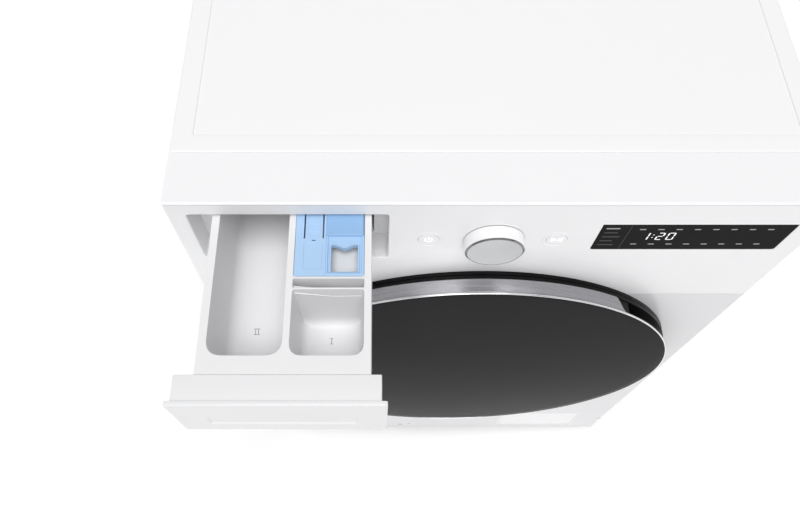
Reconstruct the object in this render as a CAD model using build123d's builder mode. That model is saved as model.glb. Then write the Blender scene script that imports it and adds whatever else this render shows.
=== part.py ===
from build123d import *
import os

# Front load washing machine. Millimetres, +Z up, front towards -Y.
# The origin is on the floor, under the middle of the machine's box with its drawer open.

# ---- Driving dimensions -------------------------------------------------------------------------
cabinet_width = 600.0
cabinet_height = 850.0
cabinet_depth = 560.0
base_height = 14.0
steel = 1.2
moulding = 2.5
panel_gap = 0.5
drawer_travel = 172.0
inlet_reach = 14.0
door_radius = 264.0
tub_inner = 255.0

front_y = (drawer_travel - cabinet_depth - inlet_reach) / 2
half_width = cabinet_width / 2


def at(depth):
    """Y of a place that lies depth behind the front face."""
    return front_y + depth


rear_y = at(cabinet_depth)

# Drum axis, and the rings that are centred on it
drum_z = 451.0
drum_axis = Axis((0, 0, drum_z), (0, 1, 0))
drum_axis_direction = Axis((0, 0, 0), (0, 1, 0))
axial_plane = Plane(origin=(0, 0, drum_z), x_dir=(0, 1, 0), z_dir=(1, 0, 0))

os.makedirs("parts", exist_ok=True)


def keep(piece, node):
    """Label a finished piece and write it under its node's name."""
    piece.part.label = node
    export_step(piece.part, f"parts/{node}.step")


def facing(y):
    """Upright plane across the machine at y: local x is X, local y is Z, normal towards the front."""
    return Plane(origin=(0, y, 0), x_dir=(1, 0, 0), z_dir=(0, -1, 0))


def block(xs, ys, zs, mode=Mode.ADD):
    """Box between two values of X, of Y and of Z, in the current part."""
    middle = ((xs[0] + xs[1]) / 2, (ys[0] + ys[1]) / 2, (zs[0] + zs[1]) / 2)
    with Locations(middle):
        return Box(xs[1] - xs[0], ys[1] - ys[0], zs[1] - zs[0], mode=mode)


def rod_y(x, z, ys, radius, mode=Mode.ADD):
    """Round bar along Y between two values of Y."""
    with Locations((x, (ys[0] + ys[1]) / 2, z)):
        return Cylinder(radius, ys[1] - ys[0], rotation=(90, 0, 0), mode=mode)


def rod_z(x, y, zs, radius, mode=Mode.ADD):
    """Round bar along Z between two values of Z."""
    with Locations((x, y, (zs[0] + zs[1]) / 2)):
        return Cylinder(radius, zs[1] - zs[0], mode=mode)


def ring_outline(*corners):
    """Closed outline from (depth, radius) corners, in the plane through the drum axis."""
    with BuildSketch(axial_plane) as outline:
        with BuildLine():
            Polyline([(at(depth), radius) for depth, radius in corners], close=True)
        make_face()
    return outline.sketch


def ring(depths, radii, mode=Mode.ADD):
    """Plain ring about the drum axis between two depths and two radii."""
    near, far = depths
    inner, outer = radii
    return revolve(
        ring_outline((near, inner), (far, inner), (far, outer), (near, outer)), axis=drum_axis, mode=mode
    )


def ring_arc(depths, radii, first_angle, swept_angle, mode=Mode.ADD):
    """Part of a ring about the drum axis, clockwise from first_angle above the right-hand side."""
    near, far = depths
    inner, outer = radii
    start_radius = Vector(1, 0, 0).rotate(drum_axis_direction, -first_angle)
    start_plane = Plane(
        origin=(0, 0, drum_z), x_dir=(0, 1, 0), z_dir=Vector(0, 1, 0).cross(start_radius)
    )
    with BuildSketch(start_plane) as section:
        with BuildLine():
            Polyline(
                (at(near), inner), (at(far), inner), (at(far), outer), (at(near), outer), close=True
            )
        make_face()
    return revolve(section.sketch, axis=drum_axis, revolution_arc=swept_angle, mode=mode)


# ---- Control panel and drawer opening -----------------------------------------------------------
panel_seam_z = 655.0
return_depth = 20.0
strip_depth = 54.0
lid_thickness = 14.0

drawer_left = -280.6
drawer_right = -102.3
drawer_top = 829.0
drawer_bottom = 747.0
drawer_gap = 2.0
drawer_face_thickness = 4.0
drawer_flange_depth = 26.0
drawer_flange_inset = 4.6
recess_left = drawer_left - drawer_gap
recess_right = drawer_right + drawer_gap
recess_bottom = drawer_bottom - drawer_gap
recess_top = drawer_top + drawer_gap
recess_depth = drawer_flange_depth + 1.0
recess_corner = 4.0
recess_edge_radius = 1.4

tray_left = -259.0
tray_right = -116.0
tray_bottom = 753.0
tray_top = drawer_top - 1.0
tray_clearance = 1.8

knob_z = 784.0
knob_radius = 28.7
knob_proud = 14.2
knob_shaft_radius = 3.0
button_z = 784.0
button_radius = 9.8
button_gap = 0.35
button_travel = 1.0
power_x = -62.0
start_x = 60.0
running_clearance = 0.05

display_left = 97.0
display_right = 277.0
display_bottom = 763.5
display_top = 813.0
display_thickness = 2.0
display_gap = 0.15

with BuildPart() as control_panel:
    block((-half_width, half_width), (at(0), at(return_depth)), (panel_seam_z, cabinet_height))
    block(
        (-half_width, half_width),
        (at(0), at(strip_depth)),
        (cabinet_height - lid_thickness, cabinet_height),
    )
    front_edges = (
        control_panel.edges().filter_by(Axis.Z).group_by(Axis.Y)[0]
        + control_panel.edges().filter_by(Axis.X).group_by(Axis.Y)[0].sort_by(Axis.Z)[-1:]
    )
    fillet(front_edges, radius=2.0)
    block(
        (-half_width + moulding, half_width - moulding),
        (at(moulding), at(strip_depth)),
        (panel_seam_z, cabinet_height - moulding),
        mode=Mode.SUBTRACT,
    )
    block(
        (recess_left - moulding, recess_right + moulding),
        (at(moulding), at(recess_depth + moulding)),
        (recess_bottom - moulding, recess_top + moulding),
    )
    with BuildSketch(facing(at(0))) as recess_outline:
        with Locations(((recess_left + recess_right) / 2, (recess_bottom + recess_top) / 2)):
            RectangleRounded(recess_right - recess_left, recess_top - recess_bottom, recess_corner)
    extrude(amount=-recess_depth, mode=Mode.SUBTRACT)
    recess_edges = (
        control_panel.edges()
        .group_by(Axis.Y)[0]
        .filter_by_position(Axis.X, recess_left - 1.0, recess_right + 1.0)
        .filter_by_position(Axis.Z, recess_bottom - 1.0, recess_top + 1.0)
    )
    fillet(recess_edges, radius=recess_edge_radius)
    block(
        (tray_left - tray_clearance, tray_right + tray_clearance),
        (at(recess_depth), at(recess_depth + moulding)),
        (tray_bottom - tray_clearance, recess_top),
        mode=Mode.SUBTRACT,
    )
    rod_y(0, knob_z, (at(0), at(moulding)), knob_shaft_radius + 1.0, mode=Mode.SUBTRACT)
    for button_x in (power_x, start_x):
        rod_y(button_x, button_z, (at(0), at(moulding)), button_radius + button_gap, mode=Mode.SUBTRACT)
    block(
        (display_left - display_gap, display_right + display_gap),
        (at(0), at(display_thickness)),
        (display_bottom - display_gap, display_top + display_gap),
        mode=Mode.SUBTRACT,
    )
    block(
        (display_left + 6.0, display_right - 6.0),
        (at(display_thickness), at(moulding)),
        (display_bottom + 5.0, display_top - 5.0),
        mode=Mode.SUBTRACT,
    )
keep(control_panel, "control_panel")

with BuildPart() as display_window:
    block((display_left, display_right), (at(0), at(display_thickness)), (display_bottom, display_top))
    fillet(display_window.edges().filter_by(Axis.Y), radius=2.0)
keep(display_window, "display_window")

# ---- Program knob, buttons and control board ----------------------------------------------------
knob_gap = 0.6
knob_shaft_end = 11.0
board_front = 12.0
board_thickness = 1.6
encoder_half = 8.0

with BuildPart() as program_knob:
    rod_y(0, knob_z, (at(-knob_proud), at(-knob_gap)), knob_radius)
    fillet(program_knob.edges().group_by(Axis.Y)[0], radius=1.5)
    rod_y(0, knob_z, (at(-knob_proud + 3.0), at(-knob_gap)), knob_radius - 2.5, mode=Mode.SUBTRACT)
    rod_y(0, knob_z, (at(-knob_proud + 1.0), at(knob_shaft_end)), knob_shaft_radius)
keep(program_knob, "program_knob")

for button_name, button_x in (("power_button", power_x), ("start_button", start_x)):
    with BuildPart() as push_button:
        rod_y(button_x, button_z, (at(-0.3), at(3.0)), button_radius)
        rod_y(button_x, button_z, (at(3.0), at(board_front - 3.5 - button_travel - 0.2)), 3.0)
    keep(push_button, button_name)

with BuildPart() as control_board:
    block(
        (power_x - 20.0, display_right - 4.0),
        (at(board_front), at(board_front + board_thickness)),
        (display_bottom, display_top),
    )
    for button_x in (power_x, start_x):
        block(
            (button_x - 3.5, button_x + 3.5),
            (at(board_front - 3.5), at(board_front)),
            (button_z - 3.5, button_z + 3.5),
        )
    block(
        (display_left + 10.0, display_right - 10.0),
        (at(4.0), at(board_front)),
        (display_bottom + 7.0, display_top - 7.0),
    )
    block(
        (-encoder_half, encoder_half),
        (at(5.0), at(board_front)),
        (knob_z - encoder_half, knob_z + encoder_half),
    )
    rod_y(
        0,
        knob_z,
        (at(5.0), at(board_front + board_thickness)),
        knob_shaft_radius + running_clearance,
        mode=Mode.SUBTRACT,
    )
keep(control_board, "control_board")

# ---- Front panel, side panels, lid, rear panel --------------------------------------------------
door_overlap = 74.0
door_opening_radius = door_radius - door_overlap
flap_left = 116.0
flap_right = 250.0
flap_bottom = 38.0
flap_top = 112.0
flap_thickness = 2.5
flap_gap = 0.6
frame_margin = 3.0
hook_inset = 35.0
hook_x = door_radius - hook_inset
hook_slot_half_width = 8.0
hook_slot_half_height = 16.0
flange = 15.0

with BuildPart() as front_panel:
    panel_top = panel_seam_z - panel_gap
    block((-half_width, half_width), (at(0), at(return_depth)), (base_height, panel_top))
    fillet(front_panel.edges().filter_by(Axis.Z).group_by(Axis.Y)[0], radius=2.0)
    block(
        (-half_width + steel, half_width - steel),
        (at(steel), at(return_depth)),
        (base_height + steel, panel_top - steel),
        mode=Mode.SUBTRACT,
    )
    rod_y(0, drum_z, (at(0), at(steel)), door_opening_radius, mode=Mode.SUBTRACT)
    block(
        (flap_left - frame_margin, flap_right + frame_margin),
        (at(0), at(steel)),
        (flap_bottom - frame_margin, flap_top + frame_margin),
        mode=Mode.SUBTRACT,
    )
    block(
        (hook_x - hook_slot_half_width, hook_x + hook_slot_half_width),
        (at(0), at(steel)),
        (drum_z - hook_slot_half_height, drum_z + hook_slot_half_height),
        mode=Mode.SUBTRACT,
    )
keep(front_panel, "front_panel")

side_front = return_depth + panel_gap
side_top = cabinet_height - lid_thickness - panel_gap
rear_panel_front = cabinet_depth - steel

for side_name, side in (("left_side_panel", -1), ("right_side_panel", 1)):
    with BuildPart() as side_panel:
        outside = side * half_width
        inside = side * (half_width - steel)
        lip = side * (half_width - flange)
        block(sorted((outside, inside)), (at(side_front), at(cabinet_depth)), (base_height, side_top))
        block(sorted((inside, lip)), (at(side_front), at(side_front + steel)), (base_height, panel_seam_z))
        block(
            sorted((inside, lip)),
            (at(strip_depth + panel_gap), at(rear_panel_front - steel)),
            (side_top - steel, side_top),
        )
        block(
            sorted((inside, lip)),
            (at(rear_panel_front - steel), at(rear_panel_front)),
            (base_height, side_top),
        )
    keep(side_panel, side_name)

lid_front = strip_depth + panel_gap
lid_border = 20.0
lid_recess = 1.2
lid_wall = 3.0

with BuildPart() as top_panel:
    block(
        (-half_width, half_width),
        (at(lid_front), at(cabinet_depth)),
        (cabinet_height - lid_thickness, cabinet_height),
    )
    fillet(top_panel.edges().filter_by(Axis.Y).group_by(Axis.Z)[-1], radius=2.0)
    block(
        (-half_width + lid_wall, half_width - lid_wall),
        (at(lid_front + lid_wall), at(cabinet_depth - lid_wall)),
        (cabinet_height - lid_thickness, cabinet_height - lid_recess - lid_wall),
        mode=Mode.SUBTRACT,
    )
    with BuildSketch(Plane.XY.offset(cabinet_height)) as lid_field:
        with Locations((0, (at(lid_front + lid_border) + at(cabinet_depth - lid_border)) / 2)):
            RectangleRounded(
                cabinet_width - 2 * lid_border, cabinet_depth - lid_front - 2 * lid_border, 8.0
            )
    extrude(amount=-lid_recess, mode=Mode.SUBTRACT)
keep(top_panel, "top_panel")

rear_opening_radius = 165.0
inlet_x = -190.0
inlet_z = 790.0
inlet_radius = 13.2
drain_x = 255.0
drain_z = 100.0
drain_radius = 10.5
gland_x = 235.0
gland_z = 790.0
gland_radius = 9.0
transit_x = 180.0
transit_rise = 150.0
transit_hole_radius = 8.0
screw_radius = 2.0
fitting_clearance = 0.2
shoulder_reach = 1.0
inlet_shoulder = 2.0
drain_shoulder = 1.0
drain_reach = 13.0
drain_wall = 2.0
rear_cover_radius = 185.0
body_clearance = 0.6

transit_places = [
    (side * transit_x, rear_y, drum_z + level * transit_rise) for side in (-1, 1) for level in (-1, 1)
]

with BuildPart() as rear_panel:
    edge = half_width - steel - panel_gap
    block((-edge, edge), (at(rear_panel_front), rear_y), (base_height, side_top))
    rod_y(0, drum_z, (at(rear_panel_front), rear_y), rear_opening_radius, mode=Mode.SUBTRACT)
    for hole_x, hole_z, hole_radius in (
        (inlet_x, inlet_z, inlet_radius + inlet_shoulder + body_clearance),
        (drain_x, drain_z, drain_radius + drain_shoulder + body_clearance),
        (gland_x, gland_z, gland_radius + fitting_clearance),
    ):
        rod_y(hole_x, hole_z, (at(rear_panel_front), rear_y), hole_radius, mode=Mode.SUBTRACT)
    with Locations(*transit_places):
        Cylinder(
            transit_hole_radius + fitting_clearance, 4 * steel, rotation=(90, 0, 0), mode=Mode.SUBTRACT
        )
    with BuildSketch(facing(rear_y)) as rear_screw_holes:
        with Locations((0, drum_z)):
            with PolarLocations(rear_cover_radius - 8.0, 6):
                Circle(screw_radius + fitting_clearance)
    extrude(amount=steel, mode=Mode.SUBTRACT)
keep(rear_panel, "rear_panel")

rear_cover_rise = 9.0

with BuildPart() as rear_cover:
    with BuildSketch(axial_plane) as cover_section:
        with BuildLine():
            Polyline(
                (rear_y, rear_cover_radius),
                (rear_y + steel, rear_cover_radius),
                (rear_y + steel, rear_cover_radius - 22.0),
                (rear_y + rear_cover_rise, rear_cover_radius - 32.0),
                (rear_y + rear_cover_rise, 0),
                (rear_y + rear_cover_rise - steel, 0),
                (rear_y + rear_cover_rise - steel, rear_cover_radius - 33.0),
                (rear_y, rear_cover_radius - 23.0),
                close=True,
            )
        make_face()
    revolve(axis=drum_axis)
    with BuildSketch(facing(rear_y + steel)) as cover_screw_holes:
        with Locations((0, drum_z)):
            with PolarLocations(rear_cover_radius - 8.0, 6):
                Circle(screw_radius + fitting_clearance)
    extrude(amount=steel, mode=Mode.SUBTRACT)
keep(rear_cover, "rear_cover")

with BuildPart() as rear_screws:
    with BuildSketch(facing(rear_y + steel)) as screw_shanks:
        with Locations((0, drum_z)):
            with PolarLocations(rear_cover_radius - 8.0, 6):
                Circle(screw_radius)
    extrude(amount=2 * steel + 6.0)
    with BuildSketch(facing(rear_y + steel)) as screw_heads:
        with Locations((0, drum_z)):
            with PolarLocations(rear_cover_radius - 8.0, 6):
                Circle(2 * screw_radius)
    extrude(amount=-2.4)
keep(rear_screws, "rear_screws")

with BuildPart() as transit_caps:
    for cap_x, cap_y, cap_z in transit_places:
        rod_y(cap_x, cap_z, (cap_y, cap_y + 2.5), transit_hole_radius + 5.0)
        rod_y(cap_x, cap_z, (cap_y - 8.0, cap_y), transit_hole_radius)
keep(transit_caps, "transit_caps")

# ---- Base pan and levelling feet ----------------------------------------------------------------
pan_floor = 16.0
pan_thickness = 3.0
pan_height = 40.0
foot_x = 262.0
foot_front = 52.0
foot_rear = 525.0
foot_radius = 22.0
foot_pad_height = 8.0
stud_radius = 5.0
stud_top = 52.0
boss_radius = 13.0
boss_top = 46.0

with BuildPart() as base_pan:
    pan_half = half_width - steel - panel_gap
    block(
        (-pan_half, pan_half),
        (at(side_front + 2 * steel), at(rear_panel_front - 2 * steel)),
        (pan_floor, pan_height),
    )
    block(
        (-pan_half + pan_thickness, pan_half - pan_thickness),
        (at(side_front + 2 * steel + pan_thickness), at(rear_panel_front - 2 * steel - pan_thickness)),
        (pan_floor + pan_thickness, pan_height),
        mode=Mode.SUBTRACT,
    )
    for boss_x in (-foot_x, foot_x):
        for boss_depth in (foot_front, foot_rear):
            rod_z(boss_x, at(boss_depth), (pan_floor, boss_top), boss_radius)
            rod_z(
                boss_x,
                at(boss_depth),
                (pan_floor, boss_top),
                stud_radius + running_clearance,
                mode=Mode.SUBTRACT,
            )
keep(base_pan, "base_pan")

for foot_name, this_x, this_depth in (
    ("foot_front_left", -foot_x, foot_front),
    ("foot_front_right", foot_x, foot_front),
    ("foot_rear_left", -foot_x, foot_rear),
    ("foot_rear_right", foot_x, foot_rear),
):
    with BuildPart() as foot:
        rod_z(this_x, at(this_depth), (0, foot_pad_height), foot_radius)
        chamfer(foot.edges().group_by(Axis.Z)[-1], length=2.5)
        rod_z(this_x, at(this_depth), (foot_pad_height, stud_top), stud_radius)
    keep(foot, foot_name)

# ---- Service flap, its frame, drain pump --------------------------------------------------------
pump_x = (flap_left + flap_right) / 2
pump_z = (flap_bottom + flap_top) / 2
chamber_radius = 30.0
chamber_wall = 3.0
chamber_front = 22.0
chamber_rear = 110.0
volute_radius = 38.0
volute_rear = 134.0
pump_motor_rear = 182.0
filter_cap_radius = 27.0
sump_outlet_depth = 300.0
pump_inlet_depth = 66.0
pump_inlet_top = 112.0
pump_inlet_radius = 16.0
flap_pivot_z = flap_bottom + flap_thickness / 2
flap_pivot_y = at(flap_thickness / 2)
flap_pin_radius = 0.8

with BuildPart() as service_frame:
    block(
        (flap_left - frame_margin, flap_right + frame_margin),
        (at(0), at(chamber_front)),
        (flap_bottom - frame_margin, flap_top + frame_margin),
    )
    block(
        (flap_left - flap_gap, flap_right + flap_gap),
        (at(0), at(chamber_front)),
        (flap_bottom - flap_gap, flap_top + flap_gap),
        mode=Mode.SUBTRACT,
    )
    with Locations(((flap_left + flap_right) / 2, flap_pivot_y, flap_pivot_z)):
        Cylinder(
            flap_pin_radius + running_clearance,
            flap_right - flap_left + 2 * flap_gap + 3.0,
            rotation=(0, 90, 0),
            mode=Mode.SUBTRACT,
        )
keep(service_frame, "service_frame")

with BuildPart() as service_flap:
    block((flap_left, flap_right), (at(0), at(flap_thickness)), (flap_bottom, flap_top))
    fillet(service_flap.edges().filter_by(Axis.X).group_by(Axis.Z)[0], radius=flap_thickness * 0.49)
    with Locations(((flap_left + flap_right) / 2, flap_pivot_y, flap_pivot_z)):
        Cylinder(flap_pin_radius, flap_right - flap_left + 2 * flap_gap + 2.0, rotation=(0, 90, 0))
    block(
        (pump_x - 12.0, pump_x + 12.0),
        (at(0), at(1.2)),
        (flap_top - 5.0, flap_top),
        mode=Mode.SUBTRACT,
    )
keep(service_flap, "service_flap")

with BuildPart() as pump_housing:
    rod_y(pump_x, pump_z, (at(chamber_front), at(chamber_rear)), chamber_radius + chamber_wall)
    rod_y(pump_x, pump_z, (at(chamber_rear), at(volute_rear)), volute_radius)
    inlet_route = (
        (0, at(sump_outlet_depth), pump_inlet_top),
        (0, at(sump_outlet_depth), pump_z),
        (0, at(pump_inlet_depth), pump_z),
        (pump_x, at(pump_inlet_depth), pump_z),
    )
    with BuildLine() as inlet_path:
        FilletPolyline(*inlet_route, radius=pump_inlet_radius * 1.8)
    with BuildSketch(Plane.XY.offset(pump_inlet_top)) as inlet_section:
        with Locations((0, at(sump_outlet_depth))):
            Circle(pump_inlet_radius)
            Circle(pump_inlet_radius - chamber_wall, mode=Mode.SUBTRACT)
    sweep(inlet_section.sketch, path=inlet_path.wire())
    rod_y(
        pump_x,
        pump_z,
        (at(chamber_front), at(chamber_rear + chamber_wall)),
        chamber_radius,
        mode=Mode.SUBTRACT,
    )
    rod_y(
        pump_x,
        pump_z,
        (at(chamber_rear + chamber_wall), at(volute_rear - chamber_wall)),
        volute_radius - chamber_wall,
        mode=Mode.SUBTRACT,
    )
    rod_y(pump_x, pump_z, (at(volute_rear - chamber_wall), at(volute_rear)), 3.0, mode=Mode.SUBTRACT)
keep(pump_housing, "pump_housing")

with BuildPart() as pump_filter:
    rod_y(pump_x, pump_z, (at(10.0), at(30.0)), filter_cap_radius)
    block(
        (pump_x - 21.0, pump_x + 21.0),
        (at(5.0), at(10.0)),
        (pump_z - 4.0, pump_z + 4.0),
    )
    rod_y(pump_x, pump_z, (at(30.0), at(95.0)), filter_cap_radius - 3.0)
    rod_y(pump_x, pump_z, (at(34.0), at(95.0)), filter_cap_radius - 6.0, mode=Mode.SUBTRACT)
    for slot_depth in (44.0, 56.0, 68.0, 80.0):
        block(
            (pump_x - 40.0, pump_x + 40.0),
            (at(slot_depth), at(slot_depth + 6.0)),
            (pump_z - 9.0, pump_z + 9.0),
            mode=Mode.SUBTRACT,
        )
keep(pump_filter, "pump_filter")

with BuildPart() as pump_impeller:
    rod_y(pump_x, pump_z, (at(114.0), at(volute_rear - chamber_wall - 1.5)), 8.0)
    for blade in range(4):
        with Locations(Location((pump_x, at(121.0), pump_z), (0, 45.0 + 90.0 * blade, 0))):
            with Locations((12.0, 0, 0)):
                Box(16.0, 12.0, 2.4)
    rod_y(pump_x, pump_z, (at(118.0), at(volute_rear + 12.0)), 2.4)
keep(pump_impeller, "pump_impeller")

with BuildPart() as pump_motor:
    rod_y(pump_x, pump_z, (at(volute_rear), at(pump_motor_rear)), 29.0)
    rod_y(
        pump_x, pump_z, (at(volute_rear), at(volute_rear + 14.0)), 2.4 + running_clearance, mode=Mode.SUBTRACT
    )
keep(pump_motor, "pump_motor")

with BuildPart() as drain_pipe:
    pipe_start = (pump_x + volute_radius - 1.0, at(122.0), drain_z)
    with BuildLine() as pipe_route:
        FilletPolyline(
            pipe_start,
            (drain_x, at(122.0), drain_z),
            (drain_x, rear_y + shoulder_reach, drain_z),
            radius=15.0,
        )
    with BuildSketch(Plane(origin=pipe_start, z_dir=(1, 0, 0))) as pipe_section:
        Circle(drain_radius + drain_shoulder)
        Circle(drain_radius + drain_shoulder - drain_wall, mode=Mode.SUBTRACT)
    sweep()
    rod_y(drain_x, drain_z, (rear_y - 4.0, rear_y + drain_reach), drain_radius)
    rod_y(
        drain_x,
        drain_z,
        (rear_y - 4.0, rear_y + drain_reach),
        drain_radius - drain_wall,
        mode=Mode.SUBTRACT,
    )
    rod_y(
        pump_x,
        pump_z,
        (at(chamber_rear - 10.0), at(volute_rear + 10.0)),
        volute_radius,
        mode=Mode.SUBTRACT,
    )
keep(drain_pipe, "drain_pipe")

# ---- Door: glass, trim band, frame, bowl --------------------------------------------------------
glass_rim_depth = -26.2
glass_crown = 7.0
glass_thickness = 4.0
band_front = -23.5
band_rear = -9.5
band_thickness = 2.5
frame_rear = -5.0
frame_wall = 3.0
bezel_front = -4.0
bezel_setback = 6.0
bezel_inner = door_opening_radius + bezel_setback
bowl_gap = 18.0
bowl_taper = 44.0
bowl_rim_radius = door_opening_radius - bowl_gap
bowl_nose_radius = bowl_rim_radius - bowl_taper
bowl_depth = 86.0
bowl_thickness = 5.0
handle_half_angle = 50.0
handle_reach = 26.0
handle_floor_radius = door_radius - handle_reach
hinge_inset = 8.0
hinge_x = hinge_inset - door_radius
hinge_depth = -15.0
hinge_pin_radius = 2.5
knuckle_radius = 4.5
hinge_half_height = 30.0
knuckle_half_height = 12.0
hinge_gap = 0.5
hook_pivot_depth = -13.0
hook_pin_radius = 1.5
hook_ear_near = 9.5
hook_ear_far = 14.0


def hinge_notch(depths):
    """Room for the hinge ears in the rim of a door piece."""
    return block(
        (-door_radius - 10.0, hinge_x + knuckle_radius + 3.0),
        (at(depths[0]), at(depths[1])),
        (drum_z - hinge_half_height - 1.5, drum_z + hinge_half_height + 1.5),
        mode=Mode.SUBTRACT,
    )


def dome_middle(crown_depth, rise, rim_radius):
    """Point at half the rim radius on a dome that is square to the drum axis at its crown."""
    sphere_radius = (rim_radius**2 + rise**2) / (2 * rise)
    drop = sphere_radius - (sphere_radius**2 - (rim_radius / 2) ** 2) ** 0.5
    return (at(crown_depth + drop), rim_radius / 2)


with BuildPart() as door_glass:
    glass_radius = door_radius - 1.0
    crown_depth = glass_rim_depth - glass_crown
    inner_crown = crown_depth + glass_thickness
    with BuildSketch(axial_plane) as glass_section:
        with BuildLine():
            Line((at(glass_rim_depth), glass_radius), (at(band_front), glass_radius))
            Line((at(band_front), glass_radius), (at(band_front), handle_floor_radius))
            ThreePointArc(
                (at(band_front), handle_floor_radius),
                dome_middle(inner_crown, band_front - inner_crown, handle_floor_radius),
                (at(inner_crown), 0),
            )
            Line((at(inner_crown), 0), (at(crown_depth), 0))
            ThreePointArc(
                (at(crown_depth), 0),
                dome_middle(crown_depth, glass_crown, glass_radius),
                (at(glass_rim_depth), glass_radius),
            )
        make_face()
    revolve(axis=drum_axis)
keep(door_glass, "door_glass")

with BuildPart() as door_band:
    ring_arc(
        (band_front, band_rear),
        (door_radius - band_thickness, door_radius),
        -handle_half_angle,
        360 - 2 * handle_half_angle,
    )
    hinge_notch((band_front, band_rear))
keep(door_band, "door_band")

with BuildPart() as door_frame:
    ring_arc(
        (band_front, frame_rear),
        (door_radius - band_thickness - frame_wall, door_radius - band_thickness),
        -handle_half_angle,
        360 - 2 * handle_half_angle,
    )
    ring((band_rear, frame_rear), (door_radius - band_thickness - frame_wall, door_radius - 1.0))
    ring((frame_rear - frame_wall, frame_rear), (bowl_rim_radius, door_radius - band_thickness))
    ring((band_front, frame_rear), (bowl_rim_radius, bowl_rim_radius + frame_wall))
    ring_arc(
        (band_front, frame_rear),
        (handle_floor_radius - frame_wall, handle_floor_radius),
        handle_half_angle,
        2 * handle_half_angle,
    )
    hinge_notch((band_front, frame_rear))
    for side in (-1, 1):
        block(
            (hook_x - 6.0, hook_x + 3.5),
            (at(hook_pivot_depth - 4.0), at(frame_rear - frame_wall)),
            sorted((drum_z + side * hook_ear_near, drum_z + side * hook_ear_far)),
        )
    block(
        (hook_x - 6.0, hook_x + 3.5),
        (at(frame_rear - frame_wall), at(frame_rear)),
        (drum_z - hook_ear_near, drum_z + hook_ear_near),
        mode=Mode.SUBTRACT,
    )
    rod_z(
        hook_x,
        at(hook_pivot_depth),
        (drum_z - hook_ear_far, drum_z + hook_ear_far),
        hook_pin_radius + running_clearance,
        mode=Mode.SUBTRACT,
    )
keep(door_frame, "door_frame")

with BuildPart() as door_bowl:
    with BuildSketch(axial_plane) as bowl_section:
        with BuildLine():
            lip = (at(frame_rear - frame_wall - 1.0), bowl_rim_radius)
            Polyline(
                (at(bowl_depth), 0),
                (at(bowl_depth), bowl_nose_radius - 14.0),
                (at(bowl_depth - 5.0), bowl_nose_radius - 3.0),
                (at(bowl_depth - 18.0), bowl_nose_radius + 4.0),
                (at(6.0), bowl_rim_radius - 6.0),
                (at(frame_rear + 1.0), bowl_rim_radius),
                lip,
                (lip[0], bowl_rim_radius - 12.0),
                (at(6.0), bowl_rim_radius - 6.0 - bowl_thickness),
                (at(bowl_depth - 18.0), bowl_nose_radius + 4.0 - bowl_thickness),
                (at(bowl_depth - 9.0), bowl_nose_radius - 4.0 - bowl_thickness),
                (at(bowl_depth - bowl_thickness), bowl_nose_radius - 16.0),
                (at(bowl_depth - bowl_thickness), 0),
                close=True,
            )
        make_face()
    revolve(axis=drum_axis)
keep(door_bowl, "door_bowl")

with BuildPart() as door_hinge_arm:
    block(
        (hinge_x, hinge_x + 26.0),
        (at(hinge_depth - knuckle_radius), at(hinge_depth + knuckle_radius)),
        (drum_z - knuckle_half_height, drum_z + knuckle_half_height),
    )
    rod_z(
        hinge_x,
        at(hinge_depth),
        (drum_z - knuckle_half_height, drum_z + knuckle_half_height),
        knuckle_radius,
    )
    block(
        (hinge_x + 8.5, hinge_x + 40.0),
        (at(frame_rear - frame_wall - 4.0), at(frame_rear - frame_wall)),
        (drum_z - 40.0, drum_z + 40.0),
    )
    rod_z(
        hinge_x,
        at(hinge_depth),
        (drum_z - knuckle_half_height, drum_z + knuckle_half_height),
        hinge_pin_radius + running_clearance,
        mode=Mode.SUBTRACT,
    )
keep(door_hinge_arm, "door_hinge_arm")

with BuildPart() as door_hook:
    rod_z(
        hook_x,
        at(hook_pivot_depth),
        (drum_z - hook_ear_near + 0.4, drum_z + hook_ear_near - 0.4),
        3.4,
    )
    block((hook_x - 2.0, hook_x + 2.0), (at(hook_pivot_depth), at(14.0)), (drum_z - 6.0, drum_z + 6.0))
    block((hook_x + 2.0, hook_x + 5.0), (at(8.0), at(14.0)), (drum_z - 6.0, drum_z + 6.0))
    rod_z(
        hook_x, at(hook_pivot_depth), (drum_z - hook_ear_far, drum_z + hook_ear_far), hook_pin_radius
    )
keep(door_hook, "door_hook")

# ---- Fixed pieces around the door ---------------------------------------------------------------
bezel_notch_half_height = 55.0
bezel_notch_reach = 48.0
bracket_thickness = 3.0
ear_far = 26.0

with BuildPart() as door_bezel:
    ring((bezel_front, 0), (bezel_inner, door_radius - 1.0))
    block(
        (-door_radius - 10.0, bezel_notch_reach - door_radius),
        (at(bezel_front), at(0)),
        (drum_z - bezel_notch_half_height, drum_z + bezel_notch_half_height),
        mode=Mode.SUBTRACT,
    )
    block(
        (hook_x - hook_slot_half_width, hook_x + hook_slot_half_width),
        (at(bezel_front), at(0)),
        (drum_z - hook_slot_half_height, drum_z + hook_slot_half_height),
        mode=Mode.SUBTRACT,
    )
keep(door_bezel, "door_bezel")

with BuildPart() as hinge_bracket:
    block(
        (hinge_x - 5.0, hinge_x + 34.0),
        (at(-bracket_thickness), at(0)),
        (drum_z - bezel_notch_half_height + 3.0, drum_z + bezel_notch_half_height - 3.0),
    )
    for side in (-1, 1):
        ear = sorted((drum_z + side * (knuckle_half_height + hinge_gap), drum_z + side * ear_far))
        block((hinge_x - 4.0, hinge_x + 4.0), (at(hinge_depth), at(-bracket_thickness)), ear)
        rod_z(hinge_x, at(hinge_depth), ear, 4.0)
    rod_z(hinge_x, at(hinge_depth), (drum_z - ear_far, drum_z + ear_far), hinge_pin_radius)
keep(hinge_bracket, "hinge_bracket")

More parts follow.
